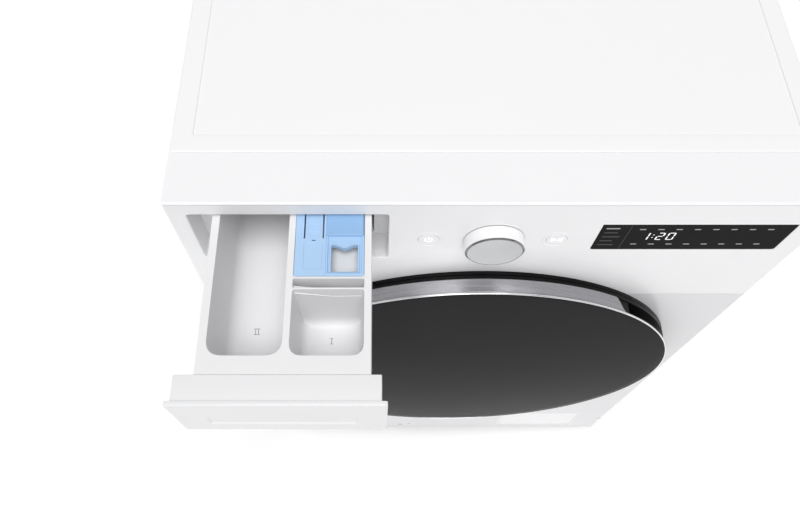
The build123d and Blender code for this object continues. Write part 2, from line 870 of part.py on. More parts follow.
with BuildPart() as door_lock:
    block((hook_x - 12.0, hook_x + 12.0), (at(steel), at(27.0)), (drum_z - 24.0, drum_z + 24.0))
    block(
        (hook_x - hook_slot_half_width, hook_x + hook_slot_half_width),
        (at(steel), at(23.0)),
        (drum_z - 12.0, drum_z + 12.0),
        mode=Mode.SUBTRACT,
    )
keep(door_lock, "door_lock")

# ---- Detergent drawer and its housing -----------------------------------------------------------
tray_front = drawer_flange_depth - drawer_travel
tray_length = 296.0
tray_rear = tray_front + tray_length
housing_rear = 345.0
housing_wall = 2.0
outlet_x = -187.0
outlet_depth = 200.0
outlet_radius = 16.0

main_left = -252.0
main_right = -189.5
small_left = -183.5
small_right = -122.0
tray_front_wall = 16.0
pocket_front = tray_front + tray_front_wall
main_rear = tray_rear - 8.0
prewash_rear = -71.0
channel_front = -69.5
channel_rear = -61.0
softener_front = -59.0
softener_rear = 76.0
softener_floor = tray_bottom + 14.0
cover_seat = 0.3
cover_thickness = 6.0
tab_left = -176.0
tab_right = -158.0
tab_front = -22.0
tab_rear = 46.0
filler_left = -151.6
filler_right = -127.7
filler_front = -54.6
filler_rear = -29.0
siphon_x = -150.0
siphon_depth = 20.0
siphon_radius = 7.0
siphon_wall = 2.0
siphon_gap = 6.0

with BuildPart() as dispenser_housing:
    inner_left = tray_left - tray_clearance
    inner_right = tray_right + tray_clearance
    inner_bottom = tray_bottom - tray_clearance
    block(
        (inner_left - housing_wall, inner_right + housing_wall),
        (at(recess_depth + moulding), at(housing_rear)),
        (inner_bottom - housing_wall, recess_top + housing_wall),
    )
    rod_z(
        outlet_x,
        at(outlet_depth),
        (inner_bottom - housing_wall - 14.0, inner_bottom),
        outlet_radius + housing_wall,
    )
    block(
        (inner_left, inner_right),
        (at(recess_depth + moulding), at(housing_rear - housing_wall)),
        (inner_bottom, recess_top),
        mode=Mode.SUBTRACT,
    )
    rod_z(
        outlet_x,
        at(outlet_depth),
        (inner_bottom - housing_wall - 14.0, inner_bottom),
        outlet_radius,
        mode=Mode.SUBTRACT,
    )
keep(dispenser_housing, "dispenser_housing")


def pocket(xs, depths, floor, corner):
    """Rounded compartment cut down from the rim of the tray."""
    with BuildSketch(Plane.XY.offset(tray_top)) as mouth:
        with Locations(((xs[0] + xs[1]) / 2, (at(depths[0]) + at(depths[1])) / 2)):
            RectangleRounded(xs[1] - xs[0], depths[1] - depths[0], corner)
    return extrude(mouth.sketch, amount=floor - tray_top, mode=Mode.SUBTRACT)


with BuildPart() as drawer_tray:
    block((tray_left, tray_right), (at(tray_front), at(tray_rear)), (tray_bottom, tray_top))
    pocket((main_left, main_right), (pocket_front, main_rear), tray_bottom + 6.0, 12.0)
    pocket((small_left, small_right), (pocket_front, prewash_rear), tray_bottom + 8.0, 10.0)
    pocket((small_left, small_right), (channel_front, channel_rear), tray_top - 22.0, 1.0)
    pocket((small_left, small_right), (softener_front, softener_rear), softener_floor, 2.0)
    pocket((small_left, small_right), (softener_rear + 4.0, main_rear), tray_bottom + 6.0, 6.0)
    fillet(drawer_tray.faces().sort_by(Axis.Z)[-1].edges(), radius=0.5)
keep(drawer_tray, "drawer_tray")

with BuildPart() as drawer_front:
    face_front = -drawer_travel
    face_back = drawer_face_thickness - drawer_travel
    with BuildSketch(facing(at(face_front))) as face_outline:
        with Locations(((drawer_left + drawer_right) / 2, (drawer_top + drawer_bottom) / 2)):
            RectangleRounded(drawer_right - drawer_left, drawer_top - drawer_bottom, 4.0)
    extrude(amount=face_front - face_back)
    block(
        (drawer_left + drawer_flange_inset, drawer_right - drawer_flange_inset),
        (at(face_back), at(tray_front)),
        (drawer_bottom + drawer_flange_inset, drawer_top - 1.5),
    )
    block(
        (drawer_left + 26.0, drawer_right - 25.0),
        (at(face_front), at(face_front + 8.0)),
        (drawer_bottom + 22.0, drawer_bottom + 41.0),
        mode=Mode.SUBTRACT,
    )
keep(drawer_front, "drawer_front")

with BuildPart() as siphon_cover:
    block(
        (small_left + cover_seat, small_right - cover_seat),
        (at(softener_front + cover_seat), at(softener_rear - cover_seat)),
        (tray_top - cover_thickness, tray_top),
    )
    fillet(siphon_cover.edges().filter_by(Axis.Z), radius=2.0)
    rod_z(siphon_x, at(siphon_depth), (softener_floor + siphon_gap, tray_top), siphon_radius)
    rod_z(
        siphon_x,
        at(siphon_depth),
        (softener_floor + siphon_gap, tray_top - 2.0),
        siphon_radius - siphon_wall,
        mode=Mode.SUBTRACT,
    )
    block(
        (tab_left, tab_right), (at(tab_front), at(tab_rear)), (tray_bottom, tray_top), mode=Mode.SUBTRACT
    )
    block(
        (filler_left, filler_right),
        (at(filler_front), at(filler_rear)),
        (tray_bottom, tray_top),
        mode=Mode.SUBTRACT,
    )
keep(siphon_cover, "siphon_cover")

tab_clearance = 0.6
tab_half_thickness = 1.5
tab_lip_depth = 12.0
tab_hinge_depth = tab_rear - tab_clearance - tab_half_thickness
tab_hinge_z = tray_top - 0.2 - tab_half_thickness

with BuildPart() as release_tab:
    block(
        (tab_left + tab_clearance, tab_right - tab_clearance),
        (at(tab_front + tab_clearance), at(tab_hinge_depth)),
        (tab_hinge_z - tab_half_thickness, tab_hinge_z + tab_half_thickness),
    )
    with Locations(((tab_left + tab_right) / 2, at(tab_hinge_depth), tab_hinge_z)):
        Cylinder(tab_half_thickness, tab_right - tab_left - 2 * tab_clearance, rotation=(0, 90, 0))
    block(
        (tab_left + tab_clearance, tab_right - tab_clearance),
        (at(tab_front + tab_clearance), at(tab_front + 3.0)),
        (tray_top - tab_lip_depth, tab_hinge_z - tab_half_thickness),
    )
keep(release_tab, "release_tab")

# ---- Water inlet, mains entry, top brace --------------------------------------------------------
with BuildPart() as inlet_valve:
    block((inlet_x - 25.0, inlet_x + 25.0), (at(505.0), at(545.0)), (inlet_z - 25.0, inlet_z + 20.0))
    rod_y(inlet_x, inlet_z, (at(545.0), rear_y + shoulder_reach), inlet_radius + inlet_shoulder)
    rod_y(inlet_x, inlet_z, (rear_y + shoulder_reach, rear_y + inlet_reach), inlet_radius)
    rod_y(inlet_x, inlet_z, (at(535.0), rear_y + inlet_reach), 9.0, mode=Mode.SUBTRACT)
    rod_y(inlet_x, inlet_z, (at(housing_rear), at(505.0)), 8.0)
keep(inlet_valve, "inlet_valve")

with BuildPart() as cord_gland:
    rod_y(gland_x, gland_z, (at(rear_panel_front - 8.0), rear_y), gland_radius)
    rod_y(gland_x, gland_z, (at(rear_panel_front - 8.0), at(rear_panel_front)), gland_radius + 3.0)
    rod_y(gland_x, gland_z, (rear_y, rear_y + 6.0), gland_radius + 3.0)
    rod_y(gland_x, gland_z, (at(rear_panel_front - 8.0), rear_y + 6.0), 4.0, mode=Mode.SUBTRACT)
keep(cord_gland, "cord_gland")

spring_inset = 20.0
spring_x = tub_inner - spring_inset
spring_depth = 370.0
spring_radius = 11.0
brace_bottom = 812.0
brace_height = 20.0

with BuildPart() as top_brace:
    brace_half = half_width - steel
    block(
        (-brace_half, brace_half),
        (at(spring_depth - 12.0), at(spring_depth + 12.0)),
        (brace_bottom, brace_bottom + brace_height),
    )
    block(
        (-brace_half, brace_half),
        (at(spring_depth - 12.0 + steel), at(spring_depth + 12.0 - steel)),
        (brace_bottom + steel, brace_bottom + brace_height),
        mode=Mode.SUBTRACT,
    )
keep(top_brace, "top_brace")

# ---- Tub, hung on springs and stood on dampers --------------------------------------------------
tub_skin = 5.0
tub_outer = tub_inner + tub_skin
flange_height = 10.0
tub_flange = tub_outer + flange_height
neck_front = 60.0
neck_gap = 8.0
neck_wall = 7.0
neck_inner = door_opening_radius - neck_gap
neck_outer = neck_inner + neck_wall
tub_front_depth = 70.0
tub_split = 250.0
tub_rear_depth = 442.0
tub_wall = 6.0
hub_radius = 44.0
hub_rear = 486.0
bearing_radius = 31.0
shaft_radius = 15.0
damper_x = 150.0
damper_depths = (215.0, 395.0)
damper_inner = 11.0
damper_wall = 4.0
damper_base = pan_floor + pan_thickness
damper_top = 130.0
lug_bottom = 225.0
spring_bottom = 620.0
stub_top = 655.0
stub_step = 2.0
sump_bottom = 165.0
sump_half_width = 55.0
sump_front = 262.0
sump_rear = 430.0
sump_wall = 4.0


def damper_lugs(depth):
    """Pair of lugs under the tub for the damper rods at one depth."""
    for side in (-1, 1):
        block(
            sorted((side * (damper_x - 12.0), side * (damper_x + 12.0))),
            (at(depth - 12.0), at(depth + 12.0)),
            (lug_bottom, drum_z),
        )


with BuildPart() as tub_front:
    damper_lugs(damper_depths[0])
    rod_z(outlet_x, at(outlet_depth), (drum_z, stub_top), outlet_radius + housing_wall)
    rod_y(0, drum_z, (at(tub_front_depth), at(tub_split)), tub_inner, mode=Mode.SUBTRACT)
    ring((tub_front_depth + tub_wall, tub_split), (tub_inner, tub_outer))
    ring((tub_front_depth, tub_front_depth + tub_wall), (neck_outer, tub_outer))
    ring((neck_front, tub_front_depth + tub_wall), (neck_inner, neck_outer))
    ring((tub_split - 7.0, tub_split), (tub_outer, tub_flange))
    rod_z(outlet_x, at(outlet_depth), (drum_z, stub_top), outlet_radius - stub_step, mode=Mode.SUBTRACT)
keep(tub_front, "tub_front")

with BuildPart() as tub_rear:
    damper_lugs(damper_depths[1])
    for side in (-1, 1):
        block(
            sorted((side * (spring_x - 13.0), side * (spring_x + 13.0))),
            (at(spring_depth - 12.0), at(spring_depth + 12.0)),
            (540.0, spring_bottom),
        )
    block(
        (-sump_half_width, sump_half_width),
        (at(sump_front), at(sump_rear)),
        (sump_bottom, drum_z),
    )
    rod_z(0, at(sump_outlet_depth), (sump_bottom - 15.0, sump_bottom), 16.0)
    rod_y(0, drum_z, (at(tub_split), at(tub_rear_depth)), tub_inner, mode=Mode.SUBTRACT)
    ring((tub_split, tub_rear_depth), (tub_inner, tub_outer))
    ring((tub_split, tub_split + 7.0), (tub_outer, tub_flange))
    ring((tub_rear_depth - tub_wall, tub_rear_depth), (bearing_radius, tub_inner))
    ring((tub_rear_depth - tub_wall, hub_rear), (bearing_radius, hub_radius))
    block(
        (-sump_half_width + sump_wall, sump_half_width - sump_wall),
        (at(sump_front + sump_wall), at(sump_rear - sump_wall)),
        (sump_bottom + sump_wall, drum_z - tub_inner + 20.0),
        mode=Mode.SUBTRACT,
    )
    rod_z(0, at(sump_outlet_depth), (sump_bottom - 15.0, sump_bottom + sump_wall), 13.0, mode=Mode.SUBTRACT)
    for rod_x in (-22.0, 22.0):
        rod_y(
            rod_x,
            sump_bottom + 18.0,
            (at(sump_rear - sump_wall), at(sump_rear)),
            3.5,
            mode=Mode.SUBTRACT,
        )
keep(tub_rear, "tub_rear")

with BuildPart() as door_gasket:
    revolve(
        ring_outline(
            (steel + panel_gap, neck_inner),
            (steel + panel_gap, neck_inner + 13.0),
            (steel + panel_gap + 3.0, neck_inner + 13.0),
            (steel + panel_gap + 3.0, neck_inner + 3.0),
            (18.0, neck_inner + 3.0),
            (26.0, neck_inner + 14.0),
            (32.0, neck_inner + 14.0),
            (40.0, neck_inner + 3.0),
            (neck_front, neck_inner + 3.0),
            (neck_front, neck_inner),
            (39.0, neck_inner),
            (31.0, neck_inner + 11.0),
            (27.0, neck_inner + 11.0),
            (19.0, neck_inner),
        ),
        axis=drum_axis,
    )
keep(door_gasket, "door_gasket")

weight_gap = 13.0
weight_inset = 4.0
weight_inner = neck_outer + weight_gap
weight_outer = tub_outer - weight_inset
weight_thickness = 32.0

with BuildPart() as counterweights:
    for first_angle in (175.0, -5.0):
        ring_arc(
            (tub_front_depth - weight_thickness, tub_front_depth),
            (weight_inner, weight_outer),
            first_angle,
            170.0,
        )
keep(counterweights, "counterweights")

with BuildPart() as heater:
    for rod_x in (-22.0, 22.0):
        rod_y(rod_x, sump_bottom + 18.0, (at(276.0), at(sump_rear + 2.0)), 3.5)
    block((-25.5, 25.5), (at(270.0), at(277.0)), (sump_bottom + 14.5, sump_bottom + 21.5))
    block((-34.0, 34.0), (at(sump_rear), at(sump_rear + 6.0)), (sump_bottom + 6.0, sump_bottom + 26.0))
keep(heater, "heater")

with BuildPart() as motor_stator:
    ring((hub_rear, hub_rear + 6.0), (34.0, 60.0))
    ring((hub_rear, hub_rear + 18.0), (60.0, 124.0))
keep(motor_stator, "motor_stator")

with BuildPart() as drum_bearings:
    for bearing_depth in (440.0, 468.0):
        ring((bearing_depth, bearing_depth + 16.0), (shaft_radius + running_clearance, bearing_radius))
keep(drum_bearings, "drum_bearings")

with BuildPart() as damper_cylinders:
    for this_x in (-damper_x, damper_x):
        for this_depth in damper_depths:
            rod_z(this_x, at(this_depth), (damper_base, damper_top), damper_inner + damper_wall)
            rod_z(
                this_x,
                at(this_depth),
                (damper_base + 5.0, damper_top),
                damper_inner,
                mode=Mode.SUBTRACT,
            )
keep(damper_cylinders, "damper_cylinders")

with BuildPart() as damper_rods:
    for this_x in (-damper_x, damper_x):
        for this_depth in damper_depths:
            rod_z(this_x, at(this_depth), (90.0, 112.0), damper_inner - running_clearance)
            rod_z(this_x, at(this_depth), (112.0, lug_bottom), 5.0)
keep(damper_rods, "damper_rods")

with BuildPart() as suspension_springs:
    for this_x in (-spring_x, spring_x):
        rod_z(this_x, at(spring_depth), (spring_bottom, brace_bottom), spring_radius)
        rod_z(
            this_x, at(spring_depth), (spring_bottom, brace_bottom), spring_radius - 3.0, mode=Mode.SUBTRACT
        )
keep(suspension_springs, "suspension_springs")

bellows_top = tray_bottom - tray_clearance - housing_wall - 14.0

with BuildPart() as tub_bellows:
    rod_z(outlet_x, at(outlet_depth), (stub_top, bellows_top), outlet_radius + 2.0)
    rod_z(outlet_x, at(outlet_depth), (stub_top, bellows_top), outlet_radius, mode=Mode.SUBTRACT)
    rod_z(0, at(sump_outlet_depth), (pump_inlet_top, sump_bottom - 15.0), 16.0)
    rod_z(0, at(sump_outlet_depth), (pump_inlet_top, sump_bottom - 15.0), 13.0, mode=Mode.SUBTRACT)
keep(tub_bellows, "tub_bellows")

# ---- Drum with its spider and direct-drive rotor ------------------------------------------------
drum_gap = 12.0
drum_inner = tub_inner - drum_gap
drum_sheet = 1.2
drum_front = 84.0
drum_rear = 404.0
mouth_gap = 3.0
drum_mouth = neck_outer + mouth_gap
lifter_half_width = 32.0
lifter_height = 43.0
lifter_tip_half_width = 9.0
rotor_rear = 511.0
rotor_plate = 3.0
back_thickness = 1.5
spider_front = drum_rear + back_thickness
spider_boss_rear = 430.0
spider_boss_radius = 40.0
spider_arm_start = 30.0
spider_arm_end = drum_inner - 7.0
spider_arm_depth = 16.0
spider_arm_width = 26.0
bolt_radius = 6.0
bolt_bore_front = 480.0
bolt_front = 490.0

with BuildPart() as drum_shell:
    ring((drum_front, drum_rear), (drum_inner, drum_inner + drum_sheet))
    ring((drum_front, drum_front + drum_sheet), (drum_mouth, drum_inner))
    ring((drum_front, drum_front + 8.0), (drum_mouth - drum_sheet, drum_mouth))
keep(drum_shell, "drum_shell")

with BuildPart() as drum_back:
    rod_y(0, drum_z, (at(drum_rear), at(spider_front)), drum_inner + drum_sheet)
keep(drum_back, "drum_back")

with BuildPart() as lifter:
    base = (drum_inner**2 - lifter_half_width**2) ** 0.5
    tip = drum_inner - lifter_height
    lifter_plane = Plane(origin=(0, at(drum_front + 10.0), drum_z), x_dir=(1, 0, 0), z_dir=(0, -1, 0))
    with BuildSketch(lifter_plane) as lifter_outline:
        with BuildLine():
            Polyline(
                (base, lifter_half_width),
                (tip, lifter_tip_half_width),
                (tip, -lifter_tip_half_width),
                (base, -lifter_half_width),
            )
            ThreePointArc((base, -lifter_half_width), (drum_inner, 0), (base, lifter_half_width))
        make_face()
    extrude(amount=drum_front + 16.0 - drum_rear)

with BuildPart() as lifters:
    for lifter_angle in (30.0, 150.0, 270.0):
        add(lifter.part.rotate(drum_axis, lifter_angle))
keep(lifters, "lifters")

with BuildPart() as drum_spider:
    rod_y(0, drum_z, (at(spider_front), at(spider_boss_rear)), spider_boss_radius)
    for arm_angle in (30.0, 150.0, 270.0):
        with Locations(Location((0, at(spider_front + spider_arm_depth / 2), drum_z), (0, arm_angle, 0))):
            with Locations(((spider_arm_start + spider_arm_end) / 2, 0, 0)):
                Box(spider_arm_end - spider_arm_start, spider_arm_depth, spider_arm_width)
    rod_y(0, drum_z, (at(spider_boss_rear), at(rotor_rear - rotor_plate)), shaft_radius)
    rod_y(0, drum_z, (at(bolt_bore_front), at(rotor_rear - rotor_plate)), bolt_radius, mode=Mode.SUBTRACT)
keep(drum_spider, "drum_spider")

with BuildPart() as motor_rotor:
    ring((hub_rear - 4.0, rotor_rear), (127.0, 134.0))
    ring((rotor_rear - rotor_plate, rotor_rear), (shaft_radius, 127.0))
    ring((hub_rear + 2.0, rotor_rear - rotor_plate), (shaft_radius, 26.0))
keep(motor_rotor, "motor_rotor")

with BuildPart() as rotor_bolt:
    rod_y(0, drum_z, (at(rotor_rear), at(rotor_rear + 3.0)), 20.0)
    with BuildSketch(facing(at(rotor_rear + 3.0))) as bolt_head:
        with Locations((0, drum_z)):
            RegularPolygon(12.0, 6)
    extrude(amount=-8.0)
    rod_y(0, drum_z, (at(bolt_front), at(rotor_rear)), bolt_radius)
keep(rotor_bolt, "rotor_bolt")
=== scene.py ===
import math

import bpy
import bmesh
import numpy as np
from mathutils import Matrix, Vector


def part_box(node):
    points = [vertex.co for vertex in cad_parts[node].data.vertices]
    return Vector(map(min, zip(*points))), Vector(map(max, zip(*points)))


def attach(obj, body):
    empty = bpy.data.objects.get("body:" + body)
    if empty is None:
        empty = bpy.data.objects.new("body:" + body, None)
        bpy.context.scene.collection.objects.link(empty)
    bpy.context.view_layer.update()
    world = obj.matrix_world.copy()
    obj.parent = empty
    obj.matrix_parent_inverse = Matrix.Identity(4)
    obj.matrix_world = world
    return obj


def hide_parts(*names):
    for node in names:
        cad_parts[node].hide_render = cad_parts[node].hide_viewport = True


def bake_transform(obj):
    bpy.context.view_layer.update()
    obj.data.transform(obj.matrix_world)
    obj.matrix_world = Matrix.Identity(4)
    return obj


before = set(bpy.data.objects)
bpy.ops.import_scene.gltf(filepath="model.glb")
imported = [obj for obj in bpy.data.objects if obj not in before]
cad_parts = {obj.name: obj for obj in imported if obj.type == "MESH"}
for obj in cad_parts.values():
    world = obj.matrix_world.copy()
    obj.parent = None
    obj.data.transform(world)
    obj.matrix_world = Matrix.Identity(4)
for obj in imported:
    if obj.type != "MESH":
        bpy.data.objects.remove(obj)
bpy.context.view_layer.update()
MM = 0.001


# ---- Painted sheet steel ------------------------------------------------------------------------
# The two sides and the front are pressed from thin steel coated in gloss white before forming.
# The coating is smooth, with the faint orange peel of a stoved paint.

def texture_group():
    """Node group: fine relief from one noise, and slow mottling from another, forty times coarser."""
    group = bpy.data.node_groups.new("surface_texture", "ShaderNodeTree")
    group.interface.new_socket("Scale", in_out="INPUT", socket_type="NodeSocketFloat")
    group.interface.new_socket("Relief", in_out="OUTPUT", socket_type="NodeSocketFloat")
    group.interface.new_socket("Mottling", in_out="OUTPUT", socket_type="NodeSocketFloat")
    nodes, links = group.nodes, group.links
    inputs = nodes.new("NodeGroupInput")
    outputs = nodes.new("NodeGroupOutput")
    place = nodes.new("ShaderNodeTexCoord")
    fine = nodes.new("ShaderNodeTexNoise")
    coarse = nodes.new("ShaderNodeTexNoise")
    slower = nodes.new("ShaderNodeMath")
    slower.operation = "DIVIDE"
    slower.inputs[1].default_value = 40.0
    links.new(inputs.outputs["Scale"], slower.inputs[0])
    links.new(inputs.outputs["Scale"], fine.inputs["Scale"])
    links.new(slower.outputs[0], coarse.inputs["Scale"])
    for noise, wanted in ((fine, "Relief"), (coarse, "Mottling")):
        noise.inputs["Detail"].default_value = 3.0
        links.new(place.outputs["Object"], noise.inputs["Vector"])
        links.new(noise.outputs["Fac"], outputs.inputs[wanted])
    return group


surface_texture = texture_group()


def new_finish(name, shader_values):
    """New material, with its constants on the shader's own sockets."""
    material = bpy.data.materials.new(name)
    material.use_nodes = True
    shader = material.node_tree.nodes["Principled BSDF"]
    for socket, value in shader_values.items():
        shader.inputs[socket.replace("_", " ").title().replace("Ior", "IOR")].default_value = value
    return material


def tinted(material, source, colour, darker, lighter):
    """Colour that goes from darker to lighter as the source goes from 0 to 1."""
    nodes, links = material.node_tree.nodes, material.node_tree.links
    tint = nodes.new("ShaderNodeMix")
    tint.data_type = "RGBA"
    tint.inputs["A"].default_value = (*[channel * darker for channel in colour], 1)
    tint.inputs["B"].default_value = (*[min(1.0, channel * lighter) for channel in colour], 1)
    links.new(source, tint.inputs["Factor"])
    links.new(tint.outputs["Result"], nodes["Principled BSDF"].inputs["Base Color"])


def roughened(material, gloss_source, roughness, drift, relief_source, relief, distance):
    """Roughness that drifts by a share either way with one source, and a bump from another."""
    nodes, links = material.node_tree.nodes, material.node_tree.links
    gloss = nodes.new("ShaderNodeMapRange")
    gloss.inputs["To Min"].default_value = roughness * (1 - drift)
    gloss.inputs["To Max"].default_value = roughness * (1 + drift)
    links.new(gloss_source, gloss.inputs["Value"])
    links.new(gloss.outputs["Result"], nodes["Principled BSDF"].inputs["Roughness"])
    bump = nodes.new("ShaderNodeBump")
    bump.inputs["Strength"].default_value = relief
    bump.inputs["Distance"].default_value = distance
    links.new(relief_source, bump.inputs["Height"])
    links.new(bump.outputs["Normal"], nodes["Principled BSDF"].inputs["Normal"])


def moulded(name, colour, roughness, scale=700.0, relief=0.02, mottling=0.03, **shader_values):
    """Material whose colour and roughness drift by the mottling, with a fine relief in the normal."""
    material = new_finish(name, shader_values)
    texture = material.node_tree.nodes.new("ShaderNodeGroup")
    texture.node_tree = surface_texture
    texture.inputs["Scale"].default_value = scale
    patches = texture.outputs["Mottling"]
    tinted(material, patches, colour, 1 - mottling, 1 + mottling)
    roughened(material, patches, roughness, 0.06, texture.outputs["Relief"], relief, 0.5 * MM)
    return material


def coat(node, material):
    """Give a carried-over piece one material on all its faces."""
    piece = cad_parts[node]
    piece.data.materials.clear()
    piece.data.materials.append(material)


enamel = moulded("gloss_white_enamel", (0.72, 0.72, 0.735), 0.28, 450.0, 0.015, 0.006, coat_weight=0.25)
for node in ("left_side_panel", "right_side_panel", "front_panel"):
    coat(node, enamel)

# ---- Lid ----------------------------------------------------------------------------------------
# The lid is a white moulded top with a flat border and a very shallow sunk field inside a fine
# groove, screwed on from behind. Its edges are softly rounded.


def softened(corners, radii, steps=6):
    """Closed outline with rounded corners: each corner gives way to a quadratic curve between the
    two points that lie its radius away along its sides, or half a side where that is shorter."""
    corners = np.asarray(corners, float)
    radii = np.broadcast_to(np.asarray(radii, float), len(corners))
    before = np.roll(corners, 1, axis=0) - corners
    after = np.roll(corners, -1, axis=0) - corners
    length_before = np.linalg.norm(before, axis=1)
    length_after = np.linalg.norm(after, axis=1)
    cut = np.minimum(radii, 0.49 * np.minimum(length_before, length_after))[:, None]
    start = corners + before / length_before[:, None] * cut
    finish = corners + after / length_after[:, None] * cut
    along = np.linspace(0, 1, steps)[None, :, None]
    curve = (1 - along) ** 2 * start[:, None] + 2 * along * (1 - along) * corners[:, None]
    curve = curve + along**2 * finish[:, None]
    return curve.reshape(-1, corners.shape[1])


def skin(name, shells, material, body, closed=False, sharp=40.0):
    """Mesh over closed loops of points: each shell is rows of loops, row joined to row. An open
    shell is filled at its first and last loop by a fan to the loop's mean; a closed one joins its
    last row to its first."""
    points, faces, start = [], [], 0
    for loops in shells:
        loops = np.asarray(loops, float)
        rows, columns = loops.shape[:2]
        index = start + np.arange(rows * columns).reshape(rows, columns)
        around = np.concatenate([index, index[:, :1]], axis=1)
        if closed:
            around = np.concatenate([around, around[:1]], axis=0)
        quads = np.stack([around[:-1, :-1], around[1:, :-1], around[1:, 1:], around[:-1, 1:]], axis=-1)
        points.append(loops.reshape(-1, 3))
        faces.extend(quads.reshape(-1, 4).tolist())
        start += rows * columns
        if not closed:
            points.append(np.stack([loops[0].mean(axis=0), loops[-1].mean(axis=0)]))
            for ring, hub in ((index[0], start), (index[-1], start + 1)):
                fan = np.stack([ring, np.roll(ring, -1), np.full(columns, hub)], axis=-1)
                faces.extend(fan.tolist())
            start += 2
    mesh = bpy.data.meshes.new(name)
    mesh.from_pydata(np.concatenate(points).tolist(), [], faces)
    work = bmesh.new()
    work.from_mesh(mesh)
    bmesh.ops.remove_doubles(work, verts=work.verts, dist=1e-7)
    bmesh.ops.recalc_face_normals(work, faces=work.faces)
    work.to_mesh(mesh)
    work.free()
    mesh.shade_smooth()
    mesh.set_sharp_from_angle(angle=math.radians(sharp))
    mesh.materials.append(material)
    piece = bpy.data.objects.new(name, mesh)
    bpy.context.scene.collection.objects.link(piece)
    if body:
        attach(piece, body)
    return piece


def level_loop(x, y, z, corner, steps=6):
    """Rounded rectangle between two X and two Y values, at one height."""
    outline = softened([(x[0], y[0]), (x[1], y[0]), (x[1], y[1]), (x[0], y[1])], corner, steps)
    return np.column_stack([outline, np.full(len(outline), z)])


def stepped(x, y, corner, profile, steps=6):
    """Level loops from a profile of (inset, height): each loop is the rectangle drawn in by the
    inset, and its corner radius shrinks with the inset but not to nothing."""
    return np.array([
        level_loop(
            (x[0] + inset, x[1] - inset), (y[0] + inset, y[1] - inset), z,
            np.maximum(np.asarray(corner) - inset, 0.3 * MM), steps,
        )
        for inset, z in profile
    ])


def open_profile(corners, radii, steps=6):
    """A run of (inset, height) corners with the inner ones rounded and both ends kept."""
    radii = np.concatenate([[0.0], np.atleast_1d(np.broadcast_to(radii, len(corners) - 2)), [0.0]])
    rounded = softened(corners, radii, steps)
    return rounded[steps - 1:-(steps - 1)]


low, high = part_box("top_panel")
lid_border = 19.5 * MM
lid_profile = open_profile(
    [
        (0.0, low.z), (0.0, high.z), (lid_border, high.z), (lid_border + 0.8 * MM, high.z - 1.3 * MM),
        (lid_border + 1.8 * MM, high.z - 1.0 * MM), (60 * MM, high.z - 0.8 * MM),
    ],
    [2.2 * MM, 0.8 * MM, 0.4 * MM, 0.8 * MM],
)
lid = skin(
    "lid", [stepped((low.x, high.x), (low.y, high.y), 3 * MM, lid_profile)],
    moulded("lid_white", (0.88, 0.88, 0.89), 0.33, 500.0, 0.015, 0.006, coat_weight=0.2), "cabinet",
    sharp=30.0,
)
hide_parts("top_panel")

# ---- Control panel ------------------------------------------------------------------------------
# One satin white moulding: the upper front, the strip in front of the lid and the recess that the
# drawer slides through. A fine joint line runs under its top edge.
panel_white = moulded("satin_white_panel", (0.87, 0.87, 0.882), 0.36, 800.0, 0.015, 0.008, coat_weight=0.15)
for node in ("control_panel", "service_frame", "service_flap"):
    coat(node, panel_white)
front_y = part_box("front_panel")[0].y

knob_low, knob_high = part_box("program_knob")
knob_x = (knob_low.x + knob_high.x) / 2
knob_z = (knob_low.z + knob_high.z) / 2


def depths(node):
    """Front and rear of a carried-over piece, as depths behind the front face."""
    return [corner.y - front_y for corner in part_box(node)]


def turned(angle, depth, radius, x, z):
    """Points at an angle, a depth and a radius about the line through x and z, broadcast together."""
    angle, depth, radius = np.broadcast_arrays(angle, depth, radius)
    return np.stack([x + radius * np.cos(angle), front_y + depth, z + radius * np.sin(angle)], axis=-1)


def upright_circles(profile, x, z, columns=96):
    """Circles in upright planes about the line through x and z: one for each (depth, radius)."""
    angle = np.linspace(0, 2 * math.pi, columns, endpoint=False)[None, :]
    depth, radius = np.asarray(profile, float).T[:, :, None]
    return turned(angle, depth, radius, x, z)


def upright_loop(outline, depth):
    """A closed outline of (x, z) points stood upright at one depth behind the front face."""
    outline = np.asarray(outline, float)
    return np.column_stack([outline[:, 0], np.full(len(outline), front_y + depth), outline[:, 1]])


def plaque(outline, near, far):
    """Shell of a flat upright plate with the given outline, between two depths."""
    return np.array([upright_loop(outline, near), upright_loop(outline, far)])


def bar(x, z, corner=0.3 * MM):
    """Rounded rectangle outline between two X and two Z values."""
    return softened([(x[0], z[0]), (x[1], z[0]), (x[1], z[1]), (x[0], z[1])], corner, 4)


button_reach = 9.8 * MM
power_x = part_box("power_button")[0].x + button_reach
start_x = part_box("start_button")[0].x + button_reach
trim_rings = [
    upright_circles(
        softened([(0.2 * MM, inner), (-0.3 * MM, inner), (-0.3 * MM, outer), (0.2 * MM, outer)], 0.2 * MM, 4),
        centre, knob_z,
    )
    for centre, inner, outer in (
        (knob_x, 29.0 * MM, 30.4 * MM), (power_x, 12.8 * MM, 13.4 * MM),
        (start_x, 12.8 * MM, 13.4 * MM),
    )
]
panel_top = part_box("control_panel")[1].z
line_reach = 297.5 * MM
skin(
    "joint_line",
    [
        plaque(
            bar((-line_reach, line_reach), (panel_top - 3.1 * MM, panel_top - 2.5 * MM)), -0.03 * MM,
            0.1 * MM,
        )
    ],
    moulded("joint_shade", (0.50, 0.50, 0.51), 0.6), "cabinet",
)
skin("raised_rings", trim_rings, panel_white, "cabinet", closed=True)

# ---- Program knob -------------------------------------------------------------------------------
# A white moulded skirt carries a spun metal face, and a thin polished ring closes the joint.


